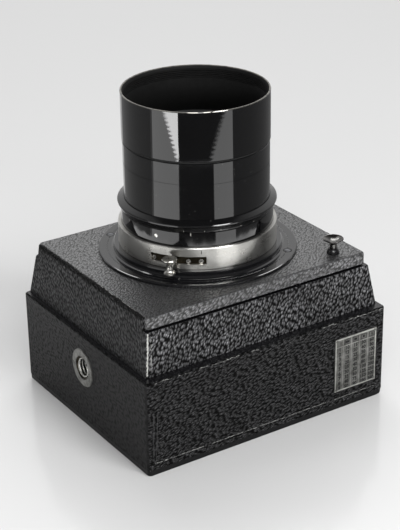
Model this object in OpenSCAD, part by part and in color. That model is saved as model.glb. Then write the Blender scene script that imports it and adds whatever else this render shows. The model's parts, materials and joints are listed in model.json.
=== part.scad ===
// Plate camera with a focal-plane shutter, lying on its back with the lens pointing up.
// The origin is where the lens axis meets the back plane. +Z runs along the lens axis,
// X along the long side, -Y is the long side with the speed table, -X the tripod side.

/* [Rear housing] */
// Length of the rear housing over the leather
box_len = 137.2; // [132:0.5:150]
// Depth of the rear housing over the leather
box_dep = 116.1; // [112:0.1:126]
// Height of the ledge above the back plane
box_h = 48.6; // [47:0.2:56]
// Radius of the upright corners
box_corner = 2; // [1.5:0.1:4]
// Radius of the lower edges at the knob end and on the far side
back_round = 4; // [3:0.5:6]
// Offset of the housing's centre from the lens axis along X
box_shift_x = -0.9; // [-2:0.1:1]
// Offset of the housing's centre from the lens axis along Y
box_shift_y = -4.85; // [-7:0.05:-4]
// Wall of the rear housing
shell_wall = 2.2; // [1.8:0.1:2.6]
// Thickness of the leather
leather_t = 0.7; // [0.5:0.1:1]

/* [Front block] */
// Length of the skirt where it meets the ledge
skirt_len = 133; // [129:0.2:134]
// Depth of the skirt where it meets the ledge
skirt_dep = 111.2; // [108:0.2:112]
// Length of the cap
cap_len = 124.2; // [120:0.1:126]
// Depth of the cap
cap_dep = 101.7; // [98:0.1:103]
// Height of the front face above the ledge
front_h = 26.9; // [24:0.1:32]
// Height of the cap above the groove
cap_h = 5.8; // [4.5:0.1:7]
// Height of the groove under the cap
groove_h = 0.9; // [0.6:0.1:1.4]
// How far the skirt's top edge stands out past the cap
skirt_step = 1.5; // [0.8:0.1:1.8]
// Wall of the front block
front_wall = 2.2; // [1.8:0.1:2.6]
// Offset of the front block from the lens axis along X
front_shift_x = -0.3; // [-1.5:0.1:0.5]
// Offset of the front block from the lens axis along Y
front_shift_y = -2.5; // [-3.5:0.1:-2]
// Radius of the front block's upright corners
front_corner = 1.8; // [1.4:0.1:3]

/* [Lens mount] */
// Radius of the lens flange
flange_r = 48.4; // [46:0.1:49]
// Thickness of the lens flange
flange_t = 1.5; // [1.2:0.1:2]
// Radius of the raised hub on the flange
hub_r = 41; // [40:0.1:42]
// Height of the hub above the flange
hub_h = 3.3; // [2.8:0.1:4]
// Outer radius of the focusing mount
mount_r = 38.45; // [38.2:0.05:39]
// Height of the focusing mount
mount_h = 10.8; // [10.4:0.1:12]
// Wall of the focusing mount at its slot
mount_wall = 0.9; // [0.7:0.1:1.1]
// Height of the focusing slot
slot_h = 3.9; // [3.6:0.1:4.2]
// Height of the slot's middle above the hub
slot_mid = 4.55; // [4.2:0.05:5]
// Angle of the slot's left end
slot_a0 = -158; // [-162:1:-154]
// Angle of the slot's right end
slot_a1 = -117; // [-121:1:-113]
// Angle of the focusing lever at rest
lever_a = -140.6; // [-142:0.2:-139]
// Radius of the screws in the flange, from the lens axis
flange_screw_pos = 44.6; // [44:0.1:45]

/* [Lens] */
// Outer radius of the sliding tube
tube_r = 34.95; // [34.7:0.05:35]
// Outer radius of the sleeve above the mount
sleeve_r = 36.85; // [36.6:0.05:36.95]
// Outer radius of the barrel
barrel_r = 35.2; // [35.1:0.05:35.4]
// Wall of the barrel
barrel_wall = 1; // [0.8:0.1:1.2]
// Height of the barrel above the sleeve
barrel_h = 33.4; // [31:0.1:36]
// Radius of the iris ring's lip
lip_r = 38.5; // [38:0.1:39]
// Outer radius of the lens hood
hood_r = 35.5; // [35.3:0.1:36]
// Wall of the lens hood
hood_wall = 1.2; // [1:0.1:1.4]
// Length of the lens hood above its groove
hood_h = 23.9; // [20:0.1:30]
// Radius of the front glass
front_glass_r = 31.5; // [30:0.5:32]
// Radius of the rear glass
rear_glass_r = 27; // [25:0.5:28]

/* [Iris] */
// Number of iris blades
blade_count = 8; // [8:1:8]
// Radius of the open iris
iris_open_r = 22.6; // [22:0.1:23.4]
// Radius of the blade pivots
blade_pivot_r = 32.9; // [32.7:0.1:33]
// Thickness of a blade
blade_t = 0.3; // [0.2:0.05:0.35]
// Height from one blade to the next
blade_pitch = 0.45; // [0.42:0.01:0.46]
// Turn of the iris ring
iris_turn = 40; // [30:1:42]
// Swing of each blade over that turn
blade_swing = 24; // [20:1:25]

/* [Shutter] */
// Length of the picture opening
gate_len = 86; // [80:1:87]
// Depth of the picture opening
gate_dep = 61; // [56:1:62]
// Radius of the blind rollers
roller_r = 7; // [6:0.5:7.5]
// Clearance between the winding roller and the housing's wall
wind_gap = 3.3; // [1.5:0.1:4]
// How far the release button's stem lies in front of the tension roller's axis
stem_lead = 1; // [0.5:0.1:1.5]
// Height of the roller shafts above the back plane
shaft_z = 18; // [17.6:0.1:19]
// Radius of the roller shafts
shaft_r = 2; // [1.6:0.1:2.2]
// Radius of the winding knob
wind_knob_r = 9; // [8:0.5:10]
// Radius of the tension knob
tension_knob_r = 6.5; // [6:0.5:7]

/* [Release button] */
// Place of the button along X
button_x = 48.5; // [48.2:0.1:49.5]
// Place of the button in front of the lens axis
button_y = 45; // [44.5:0.1:45.5]
// Radius of the dished head
button_r = 5; // [4.5:0.1:5.2]
// Height of the head above the front face
button_h = 7.8; // [7.4:0.1:8.4]
// Travel of the button
button_travel = 2; // [1.6:0.1:2]

/* [Tripod socket and table] */
// Radius of the socket's ring plate
tripod_plate_r = 9.6; // [9:0.1:10.5]
// Radius of the threaded bore
tripod_bore_r = 4.76; // [4.7:0.02:4.8]
// Height of the socket above the back plane
tripod_z = 31.2; // [28:0.2:33]
// Distance of the socket from the lens axis along Y
tripod_y = -4.4; // [-6:0.2:0]
// Width of the speed table plate
table_w = 25.4; // [22:0.2:28]
// Height of the speed table plate
table_h = 29; // [26:0.5:31]
// Place of the plate's left edge along X
table_x = 37; // [34:0.5:38]
// Height of the plate's lower edge
table_z = 9.9; // [8.5:0.1:11]

/* [Focusing back] */
// Length of the ground glass
glass_len = 90; // [88:1:92]
// Depth of the ground glass
glass_dep = 65; // [63:1:67]
// Height of the bright metal strip round the back
strip_h = 3; // [2.8:0.1:3.4]

/* [Clearances] */
// Radial clearance of a running fit
run_gap = 0.08; // [0.05:0.01:0.1]
// Clearance between pieces that are fixed to each other
seat_gap = 0.02; // [0.01:0.01:0.05]
// Clearance of a sliding frame in its rails
slide_gap = 0.3; // [0.2:0.05:0.4]

/* [Hidden] */
$fn = 96;

black_leather = "#1c1c1d";
black_lacquer = "#0e0e10";
nickel = "#cfcfcc";
dull_metal = "#8f8f8b";
brass_dark = "#6e6046";
cloth_black = "#151515";
glass_tint = "#b8c8c8";

// Heights of the body
front_z = box_h + front_h;
groove_z = front_z - cap_h - groove_h;
front_plate_t = 1.5;
plate_top_z = front_z - leather_t;

// Inside of the rear housing
shell_len = box_len - 2*leather_t;
shell_dep = box_dep - 2*leather_t;
room_len = shell_len - 2*shell_wall;
room_dep = shell_dep - 2*shell_wall;
right_face = box_shift_x + box_len/2;
left_face = box_shift_x - box_len/2;
front_side = box_shift_y - box_dep/2;
far_side = box_shift_y + box_dep/2;
right_room = box_shift_x + room_len/2;
wind_y = far_side - leather_t - shell_wall - wind_gap - roller_r;
tension_y = button_y - stem_lead;

left_room = box_shift_x - room_len/2;
latch_pin_r = 1;
latch_z = 12;
bush_r = 6;
tripod_screw_y = 7.8;
tripod_head_r = 1.4;
table_pin_x = [table_x + 1.2, table_x + table_w - 1.2];
table_pin_z = [table_z + 1.2, table_z + table_h - 1.2];

// Fittings of the front plate
flange_neck_r = 36.2;
flange_screw_a = [132, -47];
flange_head_r = 1.7;
bush_out_r = 2.4;
key_a = [60, 240];
key_w = 3;
key_r0 = tube_r - 1.2;
key_r1 = tube_r + 0.7;
key_drop = 4.5;

// Heights of the lens
flange_z = front_z;
key_z1 = flange_z + 3;
hub_top = flange_z + flange_t + hub_h;
mount_top = hub_top + mount_h;
slot_z = hub_top + slot_mid;
ring_in_r = tube_r + run_gap;
ring_out_r = mount_r - mount_wall - 0.1;
ring_z0 = hub_top + 0.1;
ring_h = 7.6;
lever_w = 4;
lever_z0 = slot_z - 1.65;
lever_z1 = slot_z + 1.55;
knob_pos = hub_r + 3;
ring_screw_a = [-156.3, -129.8, -120.7];
sleeve_screw_a = -155;
tube_z0 = front_z - 5;
tube_in_r = tube_r - 2.35;
step_z = ring_z0 + ring_h + 1.8;
sleeve_top = mount_top + 7.1;
barrel_in_r = barrel_r - barrel_wall;
barrel_z0 = sleeve_top - 4.7;
barrel_top = sleeve_top + barrel_h;
hood_in_r = hood_r - hood_wall;
hood_groove_h = 1;
hood_top = barrel_top + hood_groove_h + hood_h;
front_glass_z = barrel_top - 4.6;
rear_glass_z = hub_top + 7.7;

// Heights of the iris
iris_base_z = barrel_z0;
iris_base_t = 1.2;
blades_z = iris_base_z + iris_base_t + 0.2;
cam_z = blades_z + blade_count*blade_pitch + 0.1;
cam_t = 1.4;
cam_r = barrel_in_r - 0.1;
stud_r = 0.5;
arm_a = 11.4;
ear_r = 1.1;
blade_out_r = blade_pivot_r - 1.3;
iris_ring_z = sleeve_top + 0.15;
link_z = cam_z + cam_t/2;
link_r = 0.6;
link_a = 62;

// Heights of the focusing back
rail_lip = 1.2;
slide_top = 4.6;
pocket_top = slide_top + slide_gap;
frame_top = 9;
pocket_dep = 78.6;
lip_dep = 72.4;
pocket_x0 = -55;
slide_x0 = pocket_x0 + slide_gap;
lid_t = 0.9;
lid_len = 97;
lid_dep = 66;
lid_pin_y = -33.9;
lid_pin_z = 0.95;
lid_pin_r = 0.4;
lid_roll_r = 0.85;
slide_z = 1.5;
slide_dep = pocket_dep - 2*slide_gap;
border_dep = lip_dep - 2*slide_gap;
glass_z = 3;

// Shutter
gate_z = frame_top;
gate_t = 1.2;
side_in = 45.2;
side_t = 1.2;
side_top = 34;
foot_z = gate_z + gate_t;
hub_tube_r = 3.6;
roller_half = side_in - 0.3;
wheel_x = side_in + side_t + 2.2;
wheel_t = 1.6;
wheel_r = 6.4;
blind_t = 0.3;
blind_gap = 0.1;
knob_gap = 0.4;

// Catch lever under the release button
catch_y = -button_y + 9;
catch_z = 31;
catch_arm = 9;
catch_pin_r = 1.2;
catch_t = 1.6;
tab_z = 45;
tab_t = 1.2;
stem_r = 1.3;
neck_r = 1.7;
collar_z = 62;

// Finder
finder_z0 = 6;
finder_z1 = 45.4;
finder_y = far_side + 2.2;
finder_hinge_z = 43.4;
sight_hinge_z = 8.6;
finder_pin_r = 0.6;

// A flat rounded rectangle centred on the origin
module round_rect(l, w, r) {
    square([l - 2*r, w], center = true);
    square([l, w - 2*r], center = true);
    for (sx = [-1, 1], sy = [-1, 1])
        translate([sx*(l/2 - r), sy*(w/2 - r)]) circle(r, $fn = 48);
}

// A straight block with round upright corners
module round_block(l, w, r, z0, z1) {
    translate([0, 0, z0]) linear_extrude(z1 - z0) round_rect(l, w, r);
}

// A ring with a plain bore about the lens axis
module ring(r_out, r_in, z0, z1) {
    translate([0, 0, z0]) difference() {
        cylinder(r = r_out, h = z1 - z0, $fn = 180);
        translate([0, 0, -1]) cylinder(r = r_in, h = z1 - z0 + 2, $fn = 180);
    }
}

// A cylinder along +X from x0 to x1
module rod_x(r, x0, x1, y, z) {
    translate([x0, y, z]) rotate([0, 90, 0]) cylinder(r = r, h = x1 - x0, $fn = 48);
}

// A cylinder along +Y from y0 to y1
module rod_y(r, x, y0, y1, z) {
    translate([x, y0, z]) rotate([-90, 0, 0]) cylinder(r = r, h = y1 - y0, $fn = 48);
}

// A block given by its two corners
module span(a, b) {
    translate(a) cube([b[0] - a[0], b[1] - a[1], b[2] - a[2]]);
}

// Outline of a face whose lower outer corner is rounded
module rounded_face(edge) {
    reach = 2*box_len;
    translate([edge - reach, back_round]) square([reach, reach]);
    translate([edge - reach, -1]) square([reach - back_round, back_round + 2]);
    translate([edge - back_round, back_round]) circle(back_round, $fn = 48);
}

// Rounds the lower edges at the knob end and on the far side
module round_back(inset = 0) intersection() {
    children();
    translate([left_face - 5, 0, 0]) rotate([90, 0, 90])
        linear_extrude(box_len + 10) rounded_face(far_side - inset);
    translate([0, far_side + 5, 0]) rotate([90, 0, 0])
        linear_extrude(box_dep + 10) rounded_face(right_face - inset);
}

// Moves to the middle of the rear housing or of the front block
module at_box() { translate([box_shift_x, box_shift_y, 0]) children(); }
module at_front() { translate([front_shift_x, front_shift_y, 0]) children(); }

// Places of the round-headed screws that hold the back frame, as [x, side]
screw_x = [-37.3, 34.8];
screw_z = 5.8;
screw_head_r = 2.6;
screw_shank_r = 1;

// The cuts that the shell and its leather share: shafts, latch, socket and rear slot
module side_cuts(socket_r, shaft_hole_r, screw_r) {
    rod_x(shaft_hole_r, right_room - 1, right_face + 1, wind_y, shaft_z);
    rod_x(shaft_hole_r, right_room - 1, right_face + 1, -tension_y, shaft_z);
    rod_x(latch_pin_r + 0.05, right_room - 1, right_face + 1, 0, latch_z);
    rod_x(socket_r, left_face - 1, left_face + 5, tripod_y, tripod_z);
    for (x = screw_x, side = [-1, 1])
        rod_y(screw_r, x, box_shift_y + side*box_dep/2 - 6, box_shift_y + side*box_dep/2 + 6,
              screw_z);
    span([right_room - 1, -pocket_dep/2, -1], [right_face + 1, pocket_dep/2, pocket_top]);
}

// Light-tight casing of the shutter, open at the back and in front
module rear_shell() color(black_lacquer) difference() {
    at_box() round_block(shell_len, shell_dep, box_corner - leather_t, strip_h, box_h);
    at_box() translate([0, 0, strip_h - 1])
        linear_extrude(box_h - shell_wall - strip_h + 1) round_rect(room_len, room_dep, 1);
    translate([0, 0, box_h - shell_wall - 1]) linear_extrude(shell_wall + 2)
        square([gate_len + 24, gate_dep + 24], center = true);
    side_cuts(bush_r + seat_gap, shaft_r + 0.6, screw_shank_r + 0.05);
    for (x = screw_x, side = [-1, 1]) {
        face = box_shift_y + side*shell_dep/2;
        rod_y(screw_head_r + 0.05, x, min(face, face - side*1.2), max(face, face - side*1.2) + 0.01,
              screw_z);
    }
    translate([button_x, -button_y, box_h - 5]) cylinder(r = 4, h = 10);
    for (side = [-1, 1]) rod_x(0.7 + seat_gap, left_face - 1, left_face + 4,
                               tripod_y + side*tripod_screw_y, tripod_z);
}

// Leather glued round the four sides, down to the metal strip
module rear_leather() color(black_leather) round_back() difference() {
    at_box() union() {
        round_block(box_len, box_dep, box_corner, strip_h, box_h - 0.6);
        round_block(box_len - 0.5, box_dep - 0.5, box_corner, box_h - 0.7, box_h - 0.25);
        round_block(box_len - 1.1, box_dep - 1.1, box_corner, box_h - 0.3, box_h);
    }
    at_box() translate([0, 0, strip_h - 1]) linear_extrude(box_h + 2)
        round_rect(shell_len + 2*seat_gap, shell_dep + 2*seat_gap, box_corner - leather_t);
    side_cuts(tripod_plate_r + seat_gap, shaft_r + 0.6, screw_head_r + 0.05);
    span([table_x - seat_gap, front_side - 1, table_z - seat_gap],
         [table_x + table_w + seat_gap, front_side + leather_t/2, table_z + table_h + seat_gap]);
}

// Metal frame round the back, with the rails that the focusing back slides in
module back_frame() color(black_lacquer) round_back() difference() {
    union() {
        at_box() {
            round_block(box_len - 1.2, box_dep - 1.2, box_corner - 0.2, 0, 0.6);
            round_block(box_len - 0.4, box_dep - 0.4, box_corner, 0.5, strip_h);
            round_block(room_len - 0.2, room_dep - 0.2, 1, strip_h - 0.5, frame_top);
        }
    }
    translate([0, 0, pocket_top + 0.8]) at_box() linear_extrude(frame_top)
        square([room_len - 4.4, room_dep - 4.4], center = true);
    span([pocket_x0, -pocket_dep/2, rail_lip], [right_face + 1, pocket_dep/2, pocket_top]);
    span([pocket_x0 + 3, -lip_dep/2, -1], [right_face + 1, lip_dep/2, rail_lip + 0.5]);
    span([-gate_len/2 - 1, -gate_dep/2 - 1, 0], [gate_len/2 + 1, gate_dep/2 + 1, frame_top]);
    for (x = screw_x, side = [-1, 1])
        rod_y(screw_shank_r, x, box_shift_y + side*room_dep/2 - 3, box_shift_y + side*room_dep/2 + 3,
              screw_z);
    rod_x(latch_pin_r + 0.3, right_room - 3, right_face + 1, 0, latch_z);
}

// One layer of the front block's outline, drawn in by a given amount
module skirt_slab(inset, z, t) {
    f = (z - box_h)/(groove_z - box_h);
    l = skirt_len + (cap_len + 2*skirt_step - skirt_len)*f - 2*inset;
    w = skirt_dep + (cap_dep + 2*skirt_step - skirt_dep)*f - 2*inset;
    translate([0, 0, z]) linear_extrude(t) round_rect(l, w, max(front_corner - inset, 0.5));
}

// Holes for the lens, the button and the flange screws in the front plate
module front_holes(lens_r, bush_r, tap_r) {
    translate([0, 0, groove_z]) cylinder(r = lens_r, h = 20, $fn = 180);
    translate([button_x, -button_y, groove_z]) cylinder(r = bush_r, h = 20);
    for (a = flange_screw_a) rotate(a) translate([flange_screw_pos, 0, groove_z])
        cylinder(r = tap_r, h = 20);
}

// Tapering front block with its thick front plate
module front_shell() color(black_lacquer) difference() {
    at_front() union() {
        hull() {
            skirt_slab(leather_t, box_h, 0.01);
            skirt_slab(leather_t, groove_z - 0.01, 0.01);
        }
        round_block(cap_len - 2*leather_t - 0.4, cap_dep - 2*leather_t - 0.4, front_corner - leather_t,
                    groove_z - 0.5, plate_top_z);
    }
    at_front() hull() {
        skirt_slab(leather_t + front_wall, box_h - 0.02, 0.01);
        skirt_slab(leather_t + front_wall, groove_z, 0.01);
    }
    at_front() round_block(cap_len - 2*front_wall - 2.4, cap_dep - 2*front_wall - 2.4, 1,
                           groove_z - 1, plate_top_z - front_plate_t);
    front_holes(flange_neck_r + seat_gap, bush_out_r + seat_gap, 0.7);
}

// Leather on the four tapering sides
module skirt_leather() color(black_leather) at_front() {
    difference() {
        hull() {
            skirt_slab(0, box_h, 0.01);
            skirt_slab(0, groove_z - 0.6, 0.01);
            skirt_slab(0.45, groove_z - 0.01, 0.01);
        }
        hull() {
            skirt_slab(leather_t - seat_gap, box_h - 0.02, 0.01);
            skirt_slab(leather_t - seat_gap, groove_z + 0.01, 0.01);
        }
    }
    end_leather();
}

// On the socket side the leather runs on over the groove, up to the front face
module end_leather() {
    lean = (skirt_len - cap_len - 2*skirt_step)/2/(groove_z - box_h);
    function out(z) = cap_len/2 + skirt_step - lean*(z - groove_z);
    back = cap_len/2 - leather_t - 0.2 + seat_gap;
    low = groove_z + seat_gap;
    side = cap_dep/2 - front_corner;
    translate([0, side, 0]) rotate([90, 0, 0]) linear_extrude(2*side)
        polygon([[-back, low], [-out(groove_z) + leather_t - seat_gap, low],
                 [-out(groove_z) + leather_t - seat_gap, groove_z - 1],
                 [-out(groove_z - 1), groove_z - 1], [-out(plate_top_z - seat_gap), plate_top_z - seat_gap],
                 [-back, plate_top_z - seat_gap]]);
}

// Leather over the front face and down the cap's short sides
module front_leather() color(black_leather) difference() {
    at_front() hull() {
        round_block(cap_len, cap_dep, front_corner, groove_z + groove_h, front_z - 0.9);
        round_block(cap_len - 0.5, cap_dep - 0.5, front_corner - 0.1, front_z - 0.5, front_z - 0.3);
        round_block(cap_len - 1.5, cap_dep - 1.5, front_corner - 0.3, front_z - 0.05, front_z);
    }
    at_front() round_block(cap_len - 2*leather_t - 0.4 + 2*seat_gap,
                           cap_dep - 2*leather_t - 0.4 + 2*seat_gap, front_corner - leather_t + seat_gap,
                           groove_z, plate_top_z);
    at_front() span([-cap_len/2 - 1, -cap_dep/2 + front_corner - seat_gap, groove_z],
                    [-cap_len/2 + leather_t + 0.4, cap_dep/2 - front_corner + seat_gap, plate_top_z]);
    front_holes(flange_neck_r + seat_gap, bush_out_r + seat_gap, 0.7);
}

// Turned flange with its raised hub, and notches for the two guide keys
module lens_flange() color(black_lacquer) difference() {
    rotate_extrude($fn = 180) difference() {
        polygon([
            [ring_in_r, flange_z - 5], [flange_neck_r, flange_z - 5], [flange_neck_r, flange_z],
            [flange_r - 0.3, flange_z], [flange_r, flange_z + 0.3],
            [flange_r, flange_z + flange_t - 0.5], [flange_r - 0.2, flange_z + flange_t - 0.1],
            [flange_r - 0.6, flange_z + flange_t], [hub_r + 1.2, flange_z + flange_t],
            [hub_r + 0.35, flange_z + flange_t + 0.35], [hub_r, flange_z + flange_t + 1.2],
            [hub_r, hub_top - 0.5], [hub_r - 0.5, hub_top], [ring_in_r, hub_top]]);
        translate([hub_r + 3.2, flange_z + flange_t]) circle(r = 0.16, $fn = 16);
    }
    for (a = key_a) rotate(a)
        span([30, -key_w/2 - seat_gap, flange_z - 6], [key_r1 + seat_gap, key_w/2 + seat_gap, key_z1]);
    for (a = flange_screw_a) rotate(a) translate([flange_screw_pos, 0, flange_z - 1]) {
        cylinder(r = 0.95, h = 10);
        translate([0, 0, 1 + flange_t - 0.7]) cylinder(r = flange_head_r + 0.05, h = 2);
    }
}

// Slotted countersunk screws that hold the flange
module flange_screws() color(nickel) for (a = flange_screw_a)
    rotate(a) translate([flange_screw_pos, 0, 0]) rotate(25) difference() {
        union() {
            translate([0, 0, flange_z + flange_t - 0.7]) cylinder(r = flange_head_r, h = 0.75);
            translate([0, 0, plate_top_z - front_plate_t]) cylinder(r = 0.68, h = 3.2);
        }
        translate([-3, -0.25, flange_z + flange_t - 0.25]) cube([6, 0.5, 2]);
    }

// Nickelled focusing mount with the slot for the lever
module focus_housing() color(nickel) difference() {
    rotate_extrude($fn = 180) polygon([
        [mount_r - mount_wall, hub_top], [mount_r - 0.15, hub_top], [mount_r, hub_top + 0.15],
        [mount_r, mount_top - 0.4], [mount_r - 0.3, mount_top], [sleeve_r + run_gap, mount_top],
        [sleeve_r + run_gap, ring_z0 + ring_h + 0.1], [mount_r - mount_wall, ring_z0 + ring_h + 0.1]]);
    rotate(slot_a0) rotate_extrude(angle = slot_a1 - slot_a0, $fn = 180)
        translate([mount_r - 2.5, slot_z - slot_h/2]) square([5, slot_h]);
}

// Keys in the flange that keep the lens from turning as it moves out
module guide_keys() color(brass_dark) for (a = key_a) rotate(a)
    span([key_r0, -key_w/2, flange_z - key_drop], [key_r1, key_w/2, key_z1 - seat_gap]);

// Ring plate round the tripod socket, with its two countersunk screw holes
module tripod_plate() color(dull_metal) difference() {
    union() {
        rod_x(tripod_plate_r, left_face - 0.1, left_face + leather_t, tripod_y, tripod_z);
        rod_x(tripod_plate_r - 0.4, left_face - 0.35, left_face, tripod_y, tripod_z);
    }
    rod_x(bush_r + seat_gap, left_face - 1, left_face + 2, tripod_y, tripod_z);
    for (side = [-1, 1]) {
        rod_x(0.75, left_face - 1, left_face + 2, tripod_y + side*tripod_screw_y, tripod_z);
        rod_x(tripod_head_r + 0.05, left_face - 1, left_face + 0.2, tripod_y + side*tripod_screw_y,
              tripod_z);
    }
}

// Flanged and threaded bush that a tripod screw goes into
module tripod_bush() color(dull_metal) difference() {
    union() {
        rod_x(bush_r, left_face - 0.1, left_face + 11, tripod_y, tripod_z);
        rod_x(bush_r + 3, left_room, left_room + 1.6, tripod_y, tripod_z);
    }
    rod_x(tripod_bore_r, left_face - 1, left_face + 9, tripod_y, tripod_z);
    translate([left_face - 0.11, tripod_y, tripod_z]) rotate([0, 90, 0])
        cylinder(r1 = tripod_bore_r + 0.8, r2 = tripod_bore_r, h = 0.8, $fn = 48);
}

// The ring plate's two slotted screws
module tripod_screws() color(dull_metal) for (side = [-1, 1])
    translate([left_face - 0.35, tripod_y + side*tripod_screw_y, tripod_z])
        rotate([25*side, 0, 0]) difference() {
            union() {
                rod_x(tripod_head_r, 0, 0.5, 0, 0);
                rod_x(0.7, 0.4, 2.4, 0, 0);
            }
            span([-1, -3, -0.2], [0.25, 3, 0.2]);
        }

// Thin engraved plate that lists slits and tensions
module speed_table() color(dull_metal) difference() {
    span([table_x, front_side - 0.12, table_z],
         [table_x + table_w, front_side + leather_t/2 - seat_gap, table_z + table_h]);
    for (x = table_pin_x, z = table_pin_z) rod_y(0.42, x, front_side - 1, front_side + 2, z);
}

// Pins that nail the table to the housing
module table_pins() color(dull_metal) for (x = table_pin_x, z = table_pin_z) {
    rod_y(0.7, x, front_side - 0.3, front_side - 0.12, z);
    rod_y(0.4, x, front_side - 0.2, front_side + leather_t/2 - seat_gap, z);
}

// Screws on the long sides that hold the back frame in the housing
module frame_screws() color(black_leather) for (x = screw_x, side = [-1, 1])
    translate([x, box_shift_y + side*box_dep/2, screw_z]) rotate(side > 0 ? 0 : 180) {
        rod_y(screw_head_r, 0, -leather_t - 1.15, 0.05, 0);
        rod_y(screw_head_r - 0.4, 0, 0, 0.2, 0);
        rod_y(screw_shank_r - seat_gap, 0, -leather_t - shell_wall - 2.4, -1, 0);
    }

// Plate that carries the picture opening, seated on the back frame
module gate_plate() color(black_lacquer) difference() {
    at_box() round_block(room_len - 0.3, room_dep - 0.3, 0.8, gate_z, gate_z + gate_t);
    translate([0, 0, gate_z - 1]) linear_extrude(4) round_rect(gate_len, gate_dep, 1);
}

// Cut for the hub of the tension roller, or for a plain shaft
module bearing(r, x, y) { rod_x(r + run_gap, x - 4, x + 4, y, shaft_z); }

// The two side plates that the roller shafts run in, with the tab that guides the button
module side_plates() color(dull_metal) {
    difference() {
        union() {
            span([side_in, -tension_y - 9, foot_z], [side_in + side_t, wind_y + 5, side_top]);
            span([side_in, -button_y - 4, side_top - 1], [side_in + side_t, -button_y + 6, tab_z + tab_t]);
            span([side_in, -button_y - 4, tab_z], [button_x + 4, -button_y + 4, tab_z + tab_t]);
            span([side_in, -tension_y - 9, foot_z], [side_in + 8, -tension_y + 9, foot_z + side_t]);
            span([side_in, wind_y - 20, foot_z], [side_in + 8, wind_y + 5, foot_z + side_t]);
        }
        bearing(hub_tube_r, side_in, -tension_y);
        bearing(shaft_r, side_in, wind_y);
        rod_x(catch_pin_r + seat_gap, side_in - 1, side_in + 3, catch_y, catch_z);
        translate([button_x, -button_y, tab_z - 1]) cylinder(r = stem_r + run_gap, h = 4, $fn = 48);
    }
    difference() {
        union() {
            span([-side_in - side_t, -tension_y - 9, foot_z], [-side_in, wind_y + 5, side_top]);
            span([-side_in - 8, -tension_y - 9, foot_z], [-side_in, wind_y + 5, foot_z + side_t]);
        }
        bearing(shaft_r, -side_in, -tension_y);
        bearing(shaft_r, -side_in, wind_y);
    }
}

// Cloth blind that runs off one roller on to the other, with its slit
module shutter_blind() color(cloth_black) {
    r0 = roller_r + blind_gap;
    r1 = r0 + blind_t;
    half = side_in - 1.6;
    slit_y = gate_dep/2 + 1.5;
    difference() {
        union() {
            for (y = [wind_y, -tension_y])
                translate([-half, y, shaft_z]) rotate([90, 0, 90]) linear_extrude(2*half)
                    difference() {
                        circle(r = r1, $fn = 72);
                        circle(r = r0, $fn = 72);
                        turn = y > 0 ? 1 : -1;
                        polygon([[0, 0], [-turn*20, 0], [-turn*20, -20], [0, -20]]);
                    }
            span([-half, -tension_y, shaft_z - r1], [half, wind_y, shaft_z - r0]);
        }
        span([-gate_len/2 - 0.3, slit_y, 0], [gate_len/2 + 0.3, slit_y + 2, shaft_z]);
    }
}

// Bush that guides the release button through the front plate
module button_bush() color(black_lacquer) translate([button_x, -button_y, 0])
    rotate_extrude($fn = 64) polygon([
        [neck_r + run_gap, front_z - 3.4], [bush_out_r, front_z - 3.4], [bush_out_r, front_z],
        [bush_out_r + 0.7, front_z], [bush_out_r + 0.75, front_z + 0.6],
        [bush_out_r + 0.4, front_z + 1.5], [bush_out_r, front_z + 2.2],
        [bush_out_r - 0.2, front_z + button_h - button_travel - 3.1],
        [neck_r + run_gap, front_z + button_h - button_travel - 3.1]]);

// Dished release button with its stem and spring collar
module release_button() color(dull_metal) translate([button_x, -button_y, 0]) {
    rim = front_z + button_h;
    rotate_extrude($fn = 64) polygon(concat(
        [[0, catch_z + 2.2], [stem_r, catch_z + 2.2], [stem_r, collar_z], [stem_r + 1.2, collar_z],
         [stem_r + 1.2, collar_z + 1.2], [stem_r, collar_z + 2], [stem_r, front_z - 4.2],
         [neck_r, front_z - 3.8], [neck_r, rim - 3], [neck_r + 0.5, rim - 2.6],
         [button_r - 0.5, rim - 0.9], [button_r, rim - 0.5], [button_r, rim - 0.15],
         [button_r - 0.2, rim], [button_r - 0.5, rim - 0.05]],
        [for (i = [0:8]) let(s = 1 - i/8) [(button_r - 0.7)*s, rim - 0.2 - 1.5*(1 - s*s)]]));
}

// A round wire along a helix, one ring of points for each step
module coil(r, wire, turns, z0, h, steps = 14, sides = 6) {
    n = turns*steps;
    points = [for (i = [0:n], j = [0:sides - 1])
        let(a = 360*i/steps, b = 360*j/sides, rr = r + wire*cos(b))
        [rr*cos(a), rr*sin(a), z0 + wire + (h - 2*wire)*i/n + wire*sin(b)]];
    walls = [for (i = [0:n - 1], j = [0:sides - 1])
        let(k = (j + 1)%sides, p = i*sides, q = p + sides)
        each [[p + j, q + j, q + k], [p + j, q + k, p + k]]];
    ends = [for (j = [1:sides - 2]) each
        [[0, j, j + 1], [n*sides, n*sides + j + 1, n*sides + j]]];
    polyhedron(points = points, faces = concat(walls, ends), convexity = 10);
}

// Spring that lifts the button, between the guide tab and the collar
module button_spring() color(nickel) translate([button_x, -button_y, 0])
    coil(stem_r + 0.75, 0.3, 8, tab_z + tab_t + seat_gap, collar_z - tab_z - tab_t - 2*seat_gap);

// Winding roller and its shaft, one turned piece
module winding_roller() color(brass_dark) {
    rod_x(roller_r, -roller_half, roller_half, wind_y, shaft_z);
    rod_x(shaft_r, -side_in - side_t - 1, right_face + knob_gap + 6, wind_y, shaft_z);
}

// Fluted knob on a shaft: a skirt, a grip with flutes and a bored end
module fluted_knob(r, h, flutes, bore_r, bore_h) difference() {
    union() {
        cylinder(r = r, h = h*0.72, $fn = 72);
        cylinder(r = r - 0.5, h = h*0.72 + 0.4, $fn = 72);
        cylinder(r = r*0.72, h = h, $fn = 72);
    }
    for (i = [0:flutes - 1]) rotate(i*360/flutes)
        translate([r + 0.25, 0, h*0.16]) cylinder(r = 0.75, h = h, $fn = 16);
    translate([0, 0, -1]) cylinder(r = bore_r, h = bore_h + 1, $fn = 48);
}

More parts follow.
